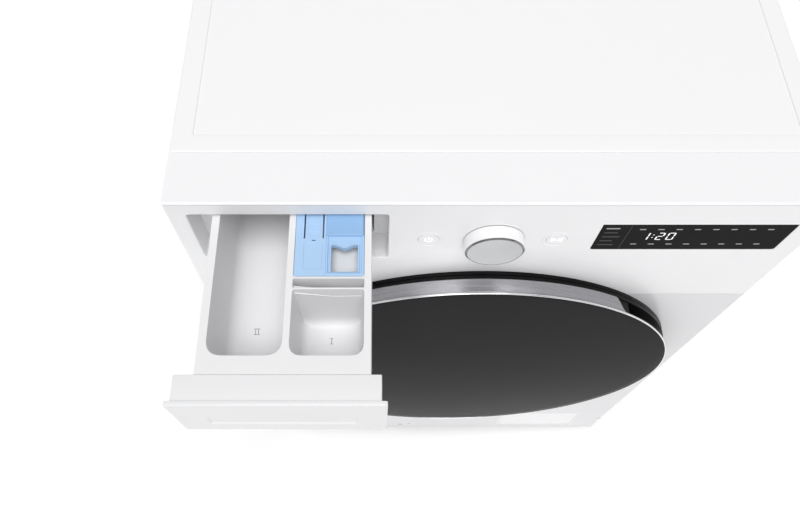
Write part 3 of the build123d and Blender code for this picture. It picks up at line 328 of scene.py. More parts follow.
def brushed(name, colour, roughness, centre, lines=2600.0, relief=0.05, **shader_values):
    """Metal turned or brushed round an axis along Y: colour, roughness and relief follow a noise
    of the radius and of the depth, so its lines run round the axis."""
    material = new_finish(name, {"metallic": 1.0, **shader_values})
    nodes, links = material.node_tree.nodes, material.node_tree.links
    place = nodes.new("ShaderNodeTexCoord")
    centred = nodes.new("ShaderNodeMapping")
    centred.inputs["Location"].default_value = (-centre[0], 0, -centre[1])
    flat = nodes.new("ShaderNodeVectorMath")
    flat.operation = "MULTIPLY"
    flat.inputs[1].default_value = (1, 0, 1)
    radius = nodes.new("ShaderNodeVectorMath")
    radius.operation = "LENGTH"
    split = nodes.new("ShaderNodeSeparateXYZ")
    join = nodes.new("ShaderNodeCombineXYZ")
    noise = nodes.new("ShaderNodeTexNoise")
    noise.inputs["Scale"].default_value = lines
    noise.inputs["Detail"].default_value = 4.0
    links.new(place.outputs["Object"], centred.inputs["Vector"])
    links.new(centred.outputs["Vector"], flat.inputs[0])
    links.new(flat.outputs["Vector"], radius.inputs[0])
    links.new(centred.outputs["Vector"], split.inputs["Vector"])
    links.new(radius.outputs["Value"], join.inputs["X"])
    links.new(split.outputs["Y"], join.inputs["Y"])
    links.new(join.outputs["Vector"], noise.inputs["Vector"])
    tinted(material, noise.outputs["Fac"], colour, 0.93, 1.05)
    roughened(material, noise.outputs["Fac"], roughness, 0.2, noise.outputs["Fac"], relief, 0.2 * MM)
    return material


knob_front = depths("program_knob")[0]
knob_radius = (knob_high.x - knob_low.x) / 2
face_radius = knob_radius - 3.0 * MM
skirt_front = knob_front + 1.2 * MM
knob_white = moulded("knob_white", (0.86, 0.86, 0.87), 0.3, 900.0, 0.02, 0.01, coat_weight=0.3)
knob_skirt = skin(
    "knob_skirt",
    [
        upright_circles(
            softened(
                [
                    (-0.7 * MM, knob_radius - 2.5 * MM), (-0.7 * MM, knob_radius),
                    (skirt_front, knob_radius), (skirt_front, face_radius),
                    (skirt_front + 1.0 * MM, face_radius),
                ],
                [0.3 * MM, 0.5 * MM, 1.6 * MM, 0.4 * MM, 0.2 * MM],
            ),
            knob_x, knob_z,
        )
    ],
    knob_white, "program_knob", closed=True,
)
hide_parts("program_knob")
polished = brushed("polished_ring", (0.26, 0.26, 0.27), 0.12, (knob_x, knob_z), relief=0.0)
skin(
    "knob_ring",
    [
        upright_circles(
            softened(
                [
                    (skirt_front + 0.1 * MM, knob_radius - 0.7 * MM),
                    (knob_front, face_radius + 0.9 * MM), (knob_front, face_radius),
                    (skirt_front + 0.1 * MM, face_radius),
                ],
                0.15 * MM,
            ),
            knob_x, knob_z,
        )
    ],
    polished, "program_knob", closed=True,
)
spun = brushed("spun_face", (0.58, 0.585, 0.60), 0.30, (knob_x, knob_z), 1800.0, 0.10, anisotropic=0.8)
radial = spun.node_tree.nodes.new("ShaderNodeTangent")
radial.direction_type = "RADIAL"
radial.axis = "Y"
spun.node_tree.links.new(radial.outputs["Tangent"], spun.node_tree.nodes["Principled BSDF"].inputs["Tangent"])
skin(
    "knob_face",
    [
        upright_circles(
            [
                (knob_front + 2.0 * MM, 1 * MM), (knob_front + 2.0 * MM, face_radius + 0.05 * MM),
                (knob_front + 0.1 * MM, face_radius + 0.05 * MM),
                (knob_front + 0.15 * MM, face_radius - 2.0 * MM), (knob_front + 0.3 * MM, 12 * MM),
                (knob_front + 0.3 * MM, 1 * MM),
            ],
            knob_x, knob_z,
        )
    ],
    spun, "program_knob",
)

# ---- Power and start buttons --------------------------------------------------------------------
# Two flush round caps moulded in the panel's white, each with a small pale sign that carries a painted glow.
for node in ("power_button", "start_button"):
    coat(node, panel_white)
# The signs' emission is a painted glow that makes them brighter than the white around them.
sign_with_painted_glow = moulded(
    "sign_painted_glow", (0.95, 0.95, 0.96), 0.4, emission_color=(1, 1, 1, 1), emission_strength=0.5
)
sign_depth = depths("power_button")[0]
sign_face, sign_back = sign_depth - 0.1 * MM, sign_depth + 0.2 * MM


def open_ring(x, z, radius, half_width, gap):
    """Outer and inner arc of a ring that is open at its top by a gap angle on each side."""
    angle = np.linspace(math.pi / 2 + gap, 5 * math.pi / 2 - gap, 40)
    return [
        np.column_stack([x + reach * np.cos(angle), z + reach * np.sin(angle)])
        for reach in (radius + half_width, radius - half_width)
    ]


stroke_half = 0.45 * MM
outer, inner = open_ring(power_x, knob_z, 3.6 * MM, stroke_half, 0.5)
ring_edges = ((outer, sign_face), (outer, sign_back), (inner, sign_back), (inner, sign_face))
ring_sections = np.stack([upright_loop(side, depth) for side, depth in ring_edges], axis=1)
skin(
    "power_sign",
    [
        ring_sections,
        plaque(
            bar((power_x - stroke_half, power_x + stroke_half), (knob_z + 0.6 * MM, knob_z + 4.8 * MM)),
            sign_face, sign_back,
        ),
    ],
    sign_with_painted_glow, "power_button",
)
arrow_half = 3.4 * MM
pause_span = (knob_z - 3.3 * MM, knob_z + 3.3 * MM)
skin(
    "start_sign",
    [
        plaque(outline, sign_face, sign_back)
        for outline in (
            softened(
                [
                    (start_x - 5.0 * MM, knob_z - arrow_half), (start_x + 0.2 * MM, knob_z),
                    (start_x - 5.0 * MM, knob_z + arrow_half),
                ],
                0.5 * MM,
            ),
            bar((start_x + 1.6 * MM, start_x + 2.9 * MM), pause_span),
            bar((start_x + 4.1 * MM, start_x + 5.4 * MM), pause_span),
        )
    ],
    sign_with_painted_glow, "start_button",
)

# ---- Display ------------------------------------------------------------------------------------
# A black window, printed on its back, with lit rows for the programs, a clock and small lamps.
low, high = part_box("display_window")
window_black = moulded(
    "window_black", (0.003, 0.003, 0.003), 0.3, 900.0, 0.01, 0.05, specular_ior_level=0.03
)


def window_outline(inset, corner):
    """Outline of the window, drawn in by an inset."""
    return bar((low.x + inset, high.x - inset), (low.z + inset, high.z - inset), corner)


window = skin(
    "window",
    [
        np.array([
            upright_loop(window_outline(inset, 3.2 * MM), depth)
            for inset, depth in (
                (0.0, 2.0 * MM), (0.0, 0.3 * MM), (0.15 * MM, 0.05 * MM), (0.5 * MM, 0.0),
                (2.0 * MM, 0.0),
            )
        ])
    ],
    window_black, "cabinet",
)
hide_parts("display_window")
print_face = -0.05 * MM
window_field = moulded(
    "window_field", (0.020, 0.020, 0.0205), 0.35, 900.0, 0.01, 0.05, specular_ior_level=0.004
)


def lamp(name, brightness):
    """Material of a printed sign lit from behind, white, at a given brightness."""
    print_shade = (0.4 * brightness,) * 3
    glow = 0.7 * brightness
    return moulded(name, print_shade, 0.4, emission_color=(1, 1, 1, 1), emission_strength=glow)


def printed(name, outlines, material):
    """Thin plates on the face of the window."""
    return skin(
        name, [plaque(outline, print_face, 0.1 * MM) for outline in outlines], material, "cabinet",
    )


skin(
    "window_panel", [plaque(window_outline(2.2 * MM, 1.5 * MM), 0.5 * print_face, 0.1 * MM)],
    window_field, "cabinet",
)
row_left = low.x + 4.5 * MM
row_pitch = 8.0 * MM
row_top = high.z - 7.5 * MM
printed(
    "program_lit",
    [bar((row_left, row_left + 13 * MM), (row_top - 1.0 * MM, row_top + 1.0 * MM), 0.9 * MM)],
    lamp("lamp_bright", 0.3),
)
printed(
    "programs_dim",
    [
        bar(
            (row_left, row_left + length * MM),
            (row_top - row * row_pitch - 0.9 * MM, row_top - row * row_pitch + 0.9 * MM), 0.8 * MM,
        )
        for row, length in ((1, 13), (2, 17), (3, 12), (4, 15))
    ],
    lamp("lamp_dim", 0.008),
)
divider_x = low.x + 27 * MM
printed(
    "window_divider",
    [bar((divider_x, divider_x + 0.4 * MM), (low.z + 2 * MM, high.z - 2 * MM), 0.1 * MM)],
    lamp("lamp_faint", 0.03),
)


def digit(x, z, lit, width=7.0 * MM, height=14.0 * MM, stroke=1.3 * MM):
    """Seven-bar numeral: bars top, upper right, lower right, bottom, lower left, upper left, middle."""
    half = stroke / 2
    right, middle, top = x + width, z + height / 2, z + height
    bars = (
        ((x + stroke, right - stroke), (top - stroke, top)),
        ((right - stroke, right), (middle + half, top - half)),
        ((right - stroke, right), (z + half, middle - half)),
        ((x + stroke, right - stroke), (z, z + stroke)), ((x, x + stroke), (z + half, middle - half)),
        ((x, x + stroke), (middle + half, top - half)),
        ((x + stroke, right - stroke), (middle - half, middle + half)),
    )
    return [bar(*bars[number], 0.3 * MM) for number in lit]


clock_x = divider_x + 15 * MM
clock_z = low.z + 20 * MM
colon_x = (clock_x + 10 * MM, clock_x + 11.3 * MM)
colon = [bar(colon_x, (clock_z + up * MM, clock_z + (up + 1.3) * MM)) for up in (4, 9)]
printed(
    "clock",
    digit(clock_x, clock_z, (1, 2))
    + colon
    + digit(clock_x + 14 * MM, clock_z, (0, 1, 6, 4, 3))
    + digit(clock_x + 24 * MM, clock_z, (0, 1, 2, 3, 4, 5)), lamp("lamp_clock", 1.0),
)
small_signs = [
    bar((divider_x + (9 + 17 * place) * MM, divider_x + (15 + 17 * place) * MM), (z, z + 1.7 * MM), 0.8 * MM)
    for z in (low.z + 10.5 * MM, high.z - 10 * MM)
    for place in range(8)
]
printed("small_signs", small_signs, lamp("lamp_small", 0.3))

# ---- Door ---------------------------------------------------------------------------------------
# A dark tinted outer glass with a very shallow dome sits in a polished lip. Behind it a brushed
# silver band wraps the black frame and stops at the right for the hand recess.
low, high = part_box("door_glass")
drum_z = (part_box("drum_back")[0].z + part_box("drum_back")[1].z) / 2
glass_radius = (high.x - low.x) / 2
glass_front, glass_back = depths("door_glass")
dome_rise = 7.0 * MM
glass_rim = glass_front + dome_rise
dome = np.linspace(0.01, 1.0, 24)
dome_profile = np.column_stack([glass_front + dome_rise * dome**2, dome * (glass_radius - 1.6 * MM)])
rim_profile = open_profile(
    [
        dome_profile[-1], (glass_rim + 0.3 * MM, glass_radius - 0.6 * MM),
        (glass_back, glass_radius - 0.6 * MM), (glass_back, glass_radius - 30 * MM),
        (glass_back - 2.0 * MM, 10 * MM),
    ],
    [0.8 * MM, 0.3 * MM, 4 * MM],
)
dark_glass = moulded(
    "dark_glass", (0.026, 0.026, 0.0275), 0.14, 60.0, 0.002, 0.05, specular_ior_level=0.006
)
door_glass = skin(
    "door_outer_glass",
    [upright_circles(np.concatenate([dome_profile[:-1], rim_profile]), 0, drum_z, 192)], dark_glass,
    "door", sharp=30.0,
)
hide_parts("door_glass")

band_front = glass_rim + 2.0 * MM
lip_metal = brushed("bright_lip", (0.86, 0.86, 0.87), 0.14, (0, drum_z), 1500.0, 0.01)
skin(
    "door_lip",
    [
        upright_circles(
            softened(
                [
                    (glass_rim - 0.2 * MM, glass_radius - 0.6 * MM),
                    (glass_rim - 0.2 * MM, glass_radius + 0.7 * MM),
                    (band_front, glass_radius + 0.7 * MM), (band_front, glass_radius - 0.6 * MM),
                ],
                0.5 * MM,
            ),
            0, drum_z, 192,
        )
    ],
    lip_metal, "door", closed=True,
)

band_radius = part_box("door_band")[1].z - drum_z
band_rear = depths("door_band")[1]
band_metal = brushed("brushed_band", (0.42, 0.413, 0.435), 0.28, (0, drum_z), 2400.0, 0.10, anisotropic=0.5)


def band_arc(first, last, taper):
    """Rows of the band's section from one angle to another. At the first end, next to the hand
    recess, its rear edge comes forward along a smooth step over the taper angle."""
    angle = np.linspace(math.radians(first), math.radians(last), 140)[:, None]
    from_end = np.clip(np.abs(angle - math.radians(first)) / math.radians(taper), 0, 1)
    full = from_end**2 * (3 - 2 * from_end)
    section = softened([(0, -2.4), (0, 0), (1, 0), (1, -2.4)], [0.02, 0.04, 0.04, 0.02], 3)
    depth = band_front + section[None, :, 0] * (0.4 * MM + full * (band_rear - band_front - 0.4 * MM))
    radius = band_radius + section[None, :, 1] * MM
    return turned(angle, depth, radius, 0, drum_z)


door_band = skin(
    "door_band_trim", [band_arc(52.4, 172.8, 2.6), band_arc(-52.4, -172.8, 2.6)], band_metal, "door",
    sharp=50.0,
)
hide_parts("door_band")

gloss_black = moulded("gloss_black", (0.004, 0.004, 0.0045), 0.35, 700.0, 0.02, 0.1, specular_ior_level=0.12)
for node in ("door_frame", "door_bezel"):
    coat(node, gloss_black)

# ---- Door bowl, gasket ---------------------------------------------------------------------------
# The bowl is pressed clear glass that keeps the wash off the door. The gasket is grey moulded
# rubber with one fold.
clear_glass = bpy.data.materials.new("clear_glass")
clear_glass.use_nodes = True
glass_shader = clear_glass.node_tree.nodes["Principled BSDF"]
glass_shader.inputs["Base Color"].default_value = (0.93, 0.97, 0.97, 1)
glass_shader.inputs["Roughness"].default_value = 0.02
glass_shader.inputs["Transmission Weight"].default_value = 1.0
glass_shader.inputs["IOR"].default_value = 1.5
low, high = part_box("door_bowl")
bowl_rim = (high.x - low.x) / 2
bowl_start, bowl_end = depths("door_bowl")
bowl_neck = 6 * MM
bowl_wall = 5 * MM
bowl_outside = open_profile(
    [
        (bowl_start, bowl_rim - 12 * MM), (bowl_start, bowl_rim), (bowl_start + 5 * MM, bowl_rim),
        (bowl_neck, bowl_rim - 6 * MM), (bowl_end - 18 * MM, 132 * MM), (bowl_end, 116 * MM),
        (bowl_end, 2 * MM),
    ],
    [1 * MM, 1 * MM, 3 * MM, 10 * MM, 16 * MM], 8,
)
bowl_inside = open_profile(
    [
        (bowl_end - bowl_wall, 2 * MM), (bowl_end - bowl_wall, 113 * MM),
        (bowl_end - 20 * MM, 127 * MM), (bowl_neck, bowl_rim - 6 * MM - bowl_wall),
        (bowl_start, bowl_rim - 12.5 * MM),
    ],
    [16 * MM, 10 * MM, 3 * MM], 8,
)
door_bowl = skin(
    "door_bowl_glass", [upright_circles(np.concatenate([bowl_outside, bowl_inside]), 0, drum_z, 128)],
    clear_glass, "door", closed=True,
)
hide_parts("door_bowl")

low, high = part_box("door_gasket")
seal_start, seal_end = depths("door_gasket")
seal_radius = 182 * MM
seal_wall = 3 * MM
lip_radius = seal_radius + 18 * MM
fold_radius = seal_radius + 11 * MM
seal_profile = softened(
    [
        (seal_start, seal_radius), (seal_start, lip_radius), (seal_start + seal_wall, lip_radius),
        (seal_start + seal_wall, seal_radius + seal_wall), (18 * MM, seal_radius + seal_wall),
        (26 * MM, fold_radius + seal_wall), (32 * MM, fold_radius + seal_wall),
        (40 * MM, seal_radius + seal_wall), (seal_end, seal_radius + seal_wall),
        (seal_end, seal_radius), (39 * MM, seal_radius), (31 * MM, fold_radius),
        (27 * MM, fold_radius), (19 * MM, seal_radius),
    ],
    [1 * MM, 1 * MM, 1 * MM, 1 * MM] + [4 * MM] * 4 + [1 * MM, 1 * MM] + [4 * MM] * 4,
)
gasket_rubber = moulded("gasket_rubber", (0.16, 0.165, 0.17), 0.6, 500.0, 0.1, 0.06)
gasket = skin(
    "gasket", [upright_circles(seal_profile, 0, drum_z, 144)], gasket_rubber, None, closed=True
)
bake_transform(gasket)
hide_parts("door_gasket")

# ---- Drawer front -------------------------------------------------------------------------------
# A thin white face plate with a finger groove, moulded in one with the box flange behind it that
# fills the recess when the drawer is shut.


def stood_up(loops):
    """Level loops set upright: their Y becomes the height and their height the depth behind the
    front face."""
    return np.stack([loops[..., 0], front_y + loops[..., 2], loops[..., 1]], axis=-1)


low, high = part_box("drawer_front")
plate_front, flange_back = depths("drawer_front")
plate_back = plate_front + 4 * MM
flange_inset = 4.6 * MM
groove_x = (low.x + 26 * MM, high.x - 25 * MM)
groove_z = (low.z + 21 * MM, low.z + 43 * MM)
plate_edge = open_profile(
    [(2.0 * MM, plate_back), (0.0, plate_back), (0.0, plate_front), (3.0 * MM, plate_front)],
    [0.5 * MM, 1.1 * MM],
)
groove_edge = open_profile(
    [
        (-1.5 * MM, plate_front), (0.0, plate_front), (1.8 * MM, plate_front + 1.5 * MM),
        (6.0 * MM, plate_front + 1.6 * MM),
    ],
    [1.2 * MM, 1.6 * MM],
)
drawer_face = skin(
    "drawer_face",
    [
        stood_up(
            np.concatenate([
                stepped((low.x, high.x), (low.z, high.z), 2.2 * MM, plate_edge),
                stepped(groove_x, groove_z, 3.0 * MM, groove_edge),
            ])
        ),
        stood_up(
            stepped(
                (low.x + flange_inset, high.x - flange_inset),
                (low.z + flange_inset, high.z - 1.5 * MM), 1.5 * MM,
                open_profile(
                    [
                        (4 * MM, plate_back - 0.1 * MM), (0.0, plate_back - 0.1 * MM),
                        (0.0, flange_back), (4 * MM, flange_back),
                    ],
                    [0.1 * MM, 0.9 * MM],
                ),
            )
        ),
    ],
    moulded("drawer_white", (0.79, 0.79, 0.80), 0.36, 800.0, 0.015, 0.008, coat_weight=0.15),
    "drawer", sharp=30.0,
)
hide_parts("drawer_front")

# ---- Drawer tray --------------------------------------------------------------------------------
# One fine satin moulding with open compartments, whose walls lean a little and run into the floor
# on a large soft radius. The numerals on the floors tell the prewash from the main wash.
tray_white = moulded("tray_white", (0.79, 0.79, 0.80), 0.48, 1100.0, 0.015, 0.008)
low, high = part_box("drawer_tray")
tray_front, tray_rear = depths("drawer_tray")
rim = high.z
divider = -186.5 * MM
wall = 7 * MM
front_wall = 16 * MM
rear_wall = 8 * MM
hairline = 0.01 * MM


def at(depth):
    """Y of a place that lies depth behind the front face."""
    return front_y + depth


def compartment(outer_x, outer_depths, open_x, open_depths, floor, corner, lean, floor_round):
    """Cup between an outer rectangle and a rounded opening: up the outside, across the rim, down a
    wall that leans in by lean, and over the floor. The floor meets the wall on floor_round."""
    outer_y = (at(outer_depths[0]) + hairline, at(outer_depths[1]) - hairline)
    outer_x = (outer_x[0] + hairline, outer_x[1] - hairline)
    outside = [level_loop(outer_x, outer_y, z, 0.05 * MM, 8) for z in (low.z, rim - 0.3 * MM, rim)]
    inside = stepped(
        open_x, (at(open_depths[0]), at(open_depths[1])), corner,
        open_profile(
            [(-0.9 * MM, rim), (0.0, rim - 0.1 * MM), (lean, floor), (lean + 1.2 * floor_round, floor)],
            [0.9 * MM, floor_round], 8,
        ),
        8,
    )
    return np.concatenate([outside, inside])


main_floor = low.z + 6 * MM
prewash_floor = low.z + 8 * MM
right_x = (divider, high.x)
small_open = (-183.5 * MM, -122 * MM)
cover_gap = 0.3 * MM
cover_front = depths("siphon_cover")[0] - cover_gap
cover_rear = depths("siphon_cover")[1] + cover_gap
channel_front, channel_rear = cover_front - 11.2 * MM, cover_front - 1.2 * MM
tray = skin(
    "tray",
    [
        compartment(
            (low.x, divider), (tray_front, tray_rear), (low.x + wall, divider - 3 * MM),
            (tray_front + front_wall, tray_rear - rear_wall), main_floor, 14 * MM, 4 * MM, 19 * MM,
        ),
        compartment(
            right_x, (tray_front, channel_front), small_open,
            (tray_front + front_wall, cover_front - 12 * MM), prewash_floor,
            (11 * MM, 11 * MM, 2.5 * MM, 2.5 * MM), 4 * MM, 16 * MM,
        ),
        compartment(
            right_x, (channel_front, channel_rear), small_open,
            (cover_front - 10.4 * MM, cover_front - 2 * MM), rim - 22 * MM, 1.5 * MM, 0.6 * MM,
            1.5 * MM,
        ),
        compartment(
            right_x, (channel_rear, cover_rear + 2 * MM), small_open, (cover_front, cover_rear),
            rim - 16 * MM, 2 * MM, 0.5 * MM, 4 * MM,
        ),
        compartment(
            right_x, (cover_rear + 2 * MM, tray_rear), small_open,
            (cover_rear + 4 * MM, tray_rear - rear_wall), main_floor, 6 * MM, 2 * MM, 5 * MM,
        ),
    ],
    tray_white, "drawer", sharp=35.0,
)
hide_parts("drawer_tray")

mark_grey = moulded("mark_grey", (0.26, 0.26, 0.27), 0.5)


def numeral(x, depth, floor, strokes):
    """Printed roman numeral of upright strokes between two cross bars, on a compartment's floor."""
    half_width = 1.5 * MM * strokes
    across = (x - half_width, x + half_width)
    pieces = [(across, (bar_at, bar_at + 0.5 * MM)) for bar_at in (-3.0 * MM, 2.5 * MM)]
    heights = [(0, floor - 0.2 * MM), (0, floor + 0.06 * MM)]
    for number in range(strokes):
        stroke_x = x + (number - (strokes - 1) / 2) * 2.6 * MM
        pieces.append(((stroke_x - 0.35 * MM, stroke_x + 0.35 * MM), (-2.6 * MM, 2.7 * MM)))
    return [stepped(xs, (at(depth) + ys[0], at(depth) + ys[1]), 0.1 * MM, heights) for xs, ys in pieces]


skin(
    "floor_numerals",
    numeral(-223 * MM, tray_front + 62 * MM, main_floor, 2)
    + numeral(-153 * MM, tray_front + 52 * MM, prewash_floor, 1), mark_grey, "drawer",
)

# Slanted ribs steer the water: one in the channel, and one of two runs at the back of the prewash.


def slanted_rib(start, finish, height, thickness):
    """Straight bar from one (x, depth, z) place to another, with an upright oblong section."""
    ends = np.array([start, finish]) + np.array([0, front_y, 0])
    section = np.array([(-1, -1), (1, -1), (1, 1), (-1, 1)]) * 0.5
    offset = np.column_stack([np.zeros(4), section[:, 0] * thickness, section[:, 1] * height])
    return ends[:, None] + offset[None]


rib_x = (-183 * MM, -150 * MM, -123 * MM)
channel_rib, prewash_rib = cover_front - 8.6 * MM, cover_front - 12.6 * MM
skin(
    "flow_ribs",
    [
        slanted_rib(
            (rib_x[0], channel_rib, rim - 5 * MM), (rib_x[1], channel_rib, rim - 12 * MM), 1.2 * MM,
            3.2 * MM,
        ),
        slanted_rib(
            (rib_x[0], prewash_rib, rim - 7 * MM), (rib_x[1], prewash_rib, rim - 14 * MM), 0.8 * MM,
            1.2 * MM,
        ),
        slanted_rib(
            (rib_x[1], prewash_rib, rim - 14 * MM), (rib_x[2], prewash_rib, rim - 13 * MM), 0.8 * MM,
            1.2 * MM,
        ),
    ],
    tray_white, "drawer",
)

# ---- Siphon cover and its release tab -----------------------------------------------------------
# A light blue satin moulding that lies over the softener. Its filler opening has a raised lip with
# a waved rear edge, and the tab between two slots is pressed to take the drawer out.
siphon_blue = moulded("siphon_blue", (0.40, 0.59, 0.83), 0.42, 1000.0, 0.02, 0.02)
low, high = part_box("siphon_cover")
cover_top = high.z
cover_bottom = cover_top - 6 * MM
tab_low, tab_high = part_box("release_tab")
tab_gap = 0.6 * MM
tab_slot = (tab_low.x - tab_gap, tab_high.x + tab_gap)
tab_front = tab_low.y - tab_gap
block_left = tab_slot[1] + 2.0 * MM
block_front = tab_front + 2.5 * MM
filler_x = (-151.2 * MM, -127.9 * MM)
filler_y = (at(-54.6 * MM), at(-28.4 * MM))


def dense(loops, pieces):
    """Each loop with every one of its sides cut into a number of equal pieces."""
    share = (np.arange(pieces) / pieces)[None, None, :, None]
    following = np.roll(loops, -1, axis=1)
    return (loops[:, :, None] * (1 - share) + following[:, :, None] * share).reshape(len(loops), -1, 3)


def slab(x, y, top, edge):
    """Block down to the cover's underside with softly rounded upper edges."""
    return stepped(
        x, y, 0.8 * MM,
        open_profile([(0, cover_bottom), (0, top), (1.5 * edge + 0.5 * MM, top)], [edge]),
    )


def filler_frame():
    """Closed ring round the filler: outer edge, sunk gutter, raised lip, and the opening's wall. The
    lip's rear side bulges forwards by a raised cosine of the place across the opening."""
    left, right, front, back = block_left + hairline, high.x, low.y, block_front - hairline
    sunk = cover_top - 1.8 * MM

    def round_opening(side, before, z, corner):
        """Edges of a rectangle that stands off the opening, a little less at its front."""
        return filler_x[0] - side, filler_x[1] + side, filler_y[0] - before, filler_y[1] + side, z, corner

    edges = (
        (left, right, front, back, cover_bottom, 0.3),
        (left, right, front, back, cover_top - 0.4 * MM, 0.3),
        (left + 0.4 * MM, right - 0.4 * MM, front + 0.4 * MM, back, cover_top, 0.3),
        (left + 1.6 * MM, right - 1.8 * MM, filler_y[0] - 1.4 * MM, back - 0.2 * MM, cover_top, 0.6),
        (left + 2.0 * MM, right - 2.2 * MM, filler_y[0] - 1.2 * MM, back - 0.4 * MM, sunk, 0.6),
        round_opening(1.7 * MM, 1.0 * MM, sunk, 1.6),
        round_opening(1.4 * MM, 0.9 * MM, cover_top, 1.6),
        round_opening(0.3 * MM, 0.3 * MM, cover_top, 1.2),
        round_opening(0, 0, cover_top - 0.4 * MM, 1.0), round_opening(0, 0, cover_bottom, 1.0),
    )
    loops = np.array([level_loop(edge[:2], edge[2:4], edge[4], edge[5] * MM) for edge in edges])
    loops = dense(loops, 8)
    middle = sum(filler_x) / 2
    across = np.clip(np.abs(loops[..., 0] - middle) / (filler_x[1] - middle), 0, 1)
    behind = np.clip((loops[..., 1] - filler_y[1] + 3 * MM) / (3 * MM), 0, 1)
    behind[:5] = 0
    loops[..., 1] -= behind * 1.7 * MM * (1 + np.cos(math.pi * np.minimum(across / 0.8, 1)))
    return loops


def sunk_panel():
    """Left front part of the cover, with a shallow sunk rectangle in front of the tab."""
    bevel = 0.4 * MM
    outer_x, outer_y = (low.x, block_left - hairline), (low.y, tab_front)
    x, y = (tab_slot[0] + 0.5 * MM, tab_slot[1] - 1.0 * MM), (low.y + 6.5 * MM, tab_front - 3.5 * MM)
    outside = [
        level_loop(outer_x, outer_y, cover_bottom, bevel),
        level_loop(outer_x, outer_y, cover_top - bevel, bevel),
        level_loop((low.x + bevel, outer_x[1]), (low.y + bevel, outer_y[1]), cover_top, bevel),
    ]
    sunk = cover_top - 0.7 * MM
    edge = open_profile([(-0.4 * MM, cover_top), (0, cover_top), (0.3 * MM, sunk), (2 * MM, sunk)], 0.2 * MM)
    return np.concatenate([outside, stepped(x, y, 1.0 * MM, edge)])


siphon = skin("siphon", [filler_frame()], siphon_blue, "drawer", closed=True, sharp=35.0)
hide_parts("siphon_cover")
plate_edge = 0.05 * MM
behind_tab = (tab_high.y + tab_gap, high.y)
block_right = high.x - 0.8 * MM
skin(
    "siphon_plates",
    [
        sunk_panel(),
        slab((low.x, tab_slot[0]), (tab_front + hairline, high.y), cover_top, plate_edge),
        slab((tab_slot[1], block_left - hairline), (tab_front + hairline, high.y), cover_top, plate_edge),
        slab((tab_slot[0] + hairline, tab_slot[1] - hairline), behind_tab, cover_top, plate_edge),
        slab((block_right + hairline, high.x), (block_front, high.y), cover_top - 0.2 * MM, plate_edge),
    ],
    siphon_blue, "drawer", sharp=35.0,
)
# The raised block at the back is coloured a darker blue: painted shade, for the shadow that the panel's strip
# casts over the back of the cover.
skin(
    "siphon_block",
    [slab((block_left, block_right), (block_front, high.y), cover_top + 1.2 * MM, 1.2 * MM)],
    moulded("siphon_blue_painted_shade", (0.27, 0.46, 0.72), 0.42, 1000.0, 0.02, 0.02), "drawer",
    sharp=35.0,
)


def level_circles(x, y, profile, columns=32):
    """Circles in level planes about an upright line: one for each (z, radius)."""
    angle = np.linspace(0, 2 * math.pi, columns, endpoint=False)[None, :]
    z, radius = np.asarray(profile, float).T[:, :, None]
    return np.stack([x + radius * np.cos(angle), y + radius * np.sin(angle), z + 0 * angle], axis=-1)


skin(
    "siphon_tube",
    [
        level_circles(
            -150 * MM, at(20 * MM),
            [(rim - 14 * MM, radius * MM) for radius in (5, 7)]
            + [(cover_bottom, radius * MM) for radius in (7, 5)],
        )
    ],
    siphon_blue, "drawer", closed=True,
)
tongue_top, tongue_field = cover_top - 0.3 * MM, cover_top - 0.7 * MM
release_tab = skin(
    "release_tongue",
    [
        stepped(
            (tab_low.x + 0.7 * MM, tab_high.x - 0.7 * MM), (tab_low.y - 0.4 * MM, tab_high.y),
            0.8 * MM,
            open_profile(
                [
                    (0, cover_top - 3.2 * MM), (0, tongue_top), (2.0 * MM, tongue_top),
                    (2.6 * MM, tongue_field), (5.0 * MM, tongue_field),
                ],
                [0.5 * MM, 0.3 * MM, 0.3 * MM],
            ),
        )
    ]
    + [
        stepped(
            (tab_low.x + 4 * MM, tab_high.x - 4 * MM),
            (tab_low.y + (4 + 2.2 * ridge) * MM, tab_low.y + (5 + 2.2 * ridge) * MM), 0.3 * MM,
            [(0, cover_top - 1.0 * MM), (0, cover_top - 0.5 * MM), (0.25 * MM, tongue_top)], 3,
        )
        for ridge in range(5)
    ],
    siphon_blue, "release_tab", sharp=35.0,
)
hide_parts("release_tab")
# The slit in front of the tab is a thin dark plate of painted shade, set on the cover where nothing is cut.
slit_painted_shade = moulded("slit_painted_shade", (0.03, 0.06, 0.12), 0.6)
tab_middle = (tab_low.x + tab_high.x) / 2
skin(
    "cover_slit",
    [
        stepped(
            (tab_middle - 1.7 * MM, tab_middle + 1.7 * MM),
            (tab_front - 2.6 * MM, tab_front - 1.7 * MM), 0.2 * MM,
            [(0, cover_top - 0.6 * MM), (0, cover_top + 0.03 * MM)],
        )
    ],
    slit_painted_shade, "drawer",
)

# ---- Drum ---------------------------------------------------------------------------------------
# Bright stainless sheet rolled into a drum, pressed with shallow cushions between its holes, with
# three lifter paddles inside and a pressed back.
stainless = brushed("stainless_sheet", (0.62, 0.62, 0.63), 0.24, (0, drum_z), 900.0, 0.05)
low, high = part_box("drum_shell")
drum_radius = (high.x - low.x) / 2
drum_sheet = 1.2 * MM
drum_front, drum_rear = depths("drum_shell")
mouth_radius = 192 * MM
cushions_round = 42
cushion_rows = 10
pressed_start = drum_front + 9 * MM
pressed_length = drum_rear - drum_front - 16 * MM


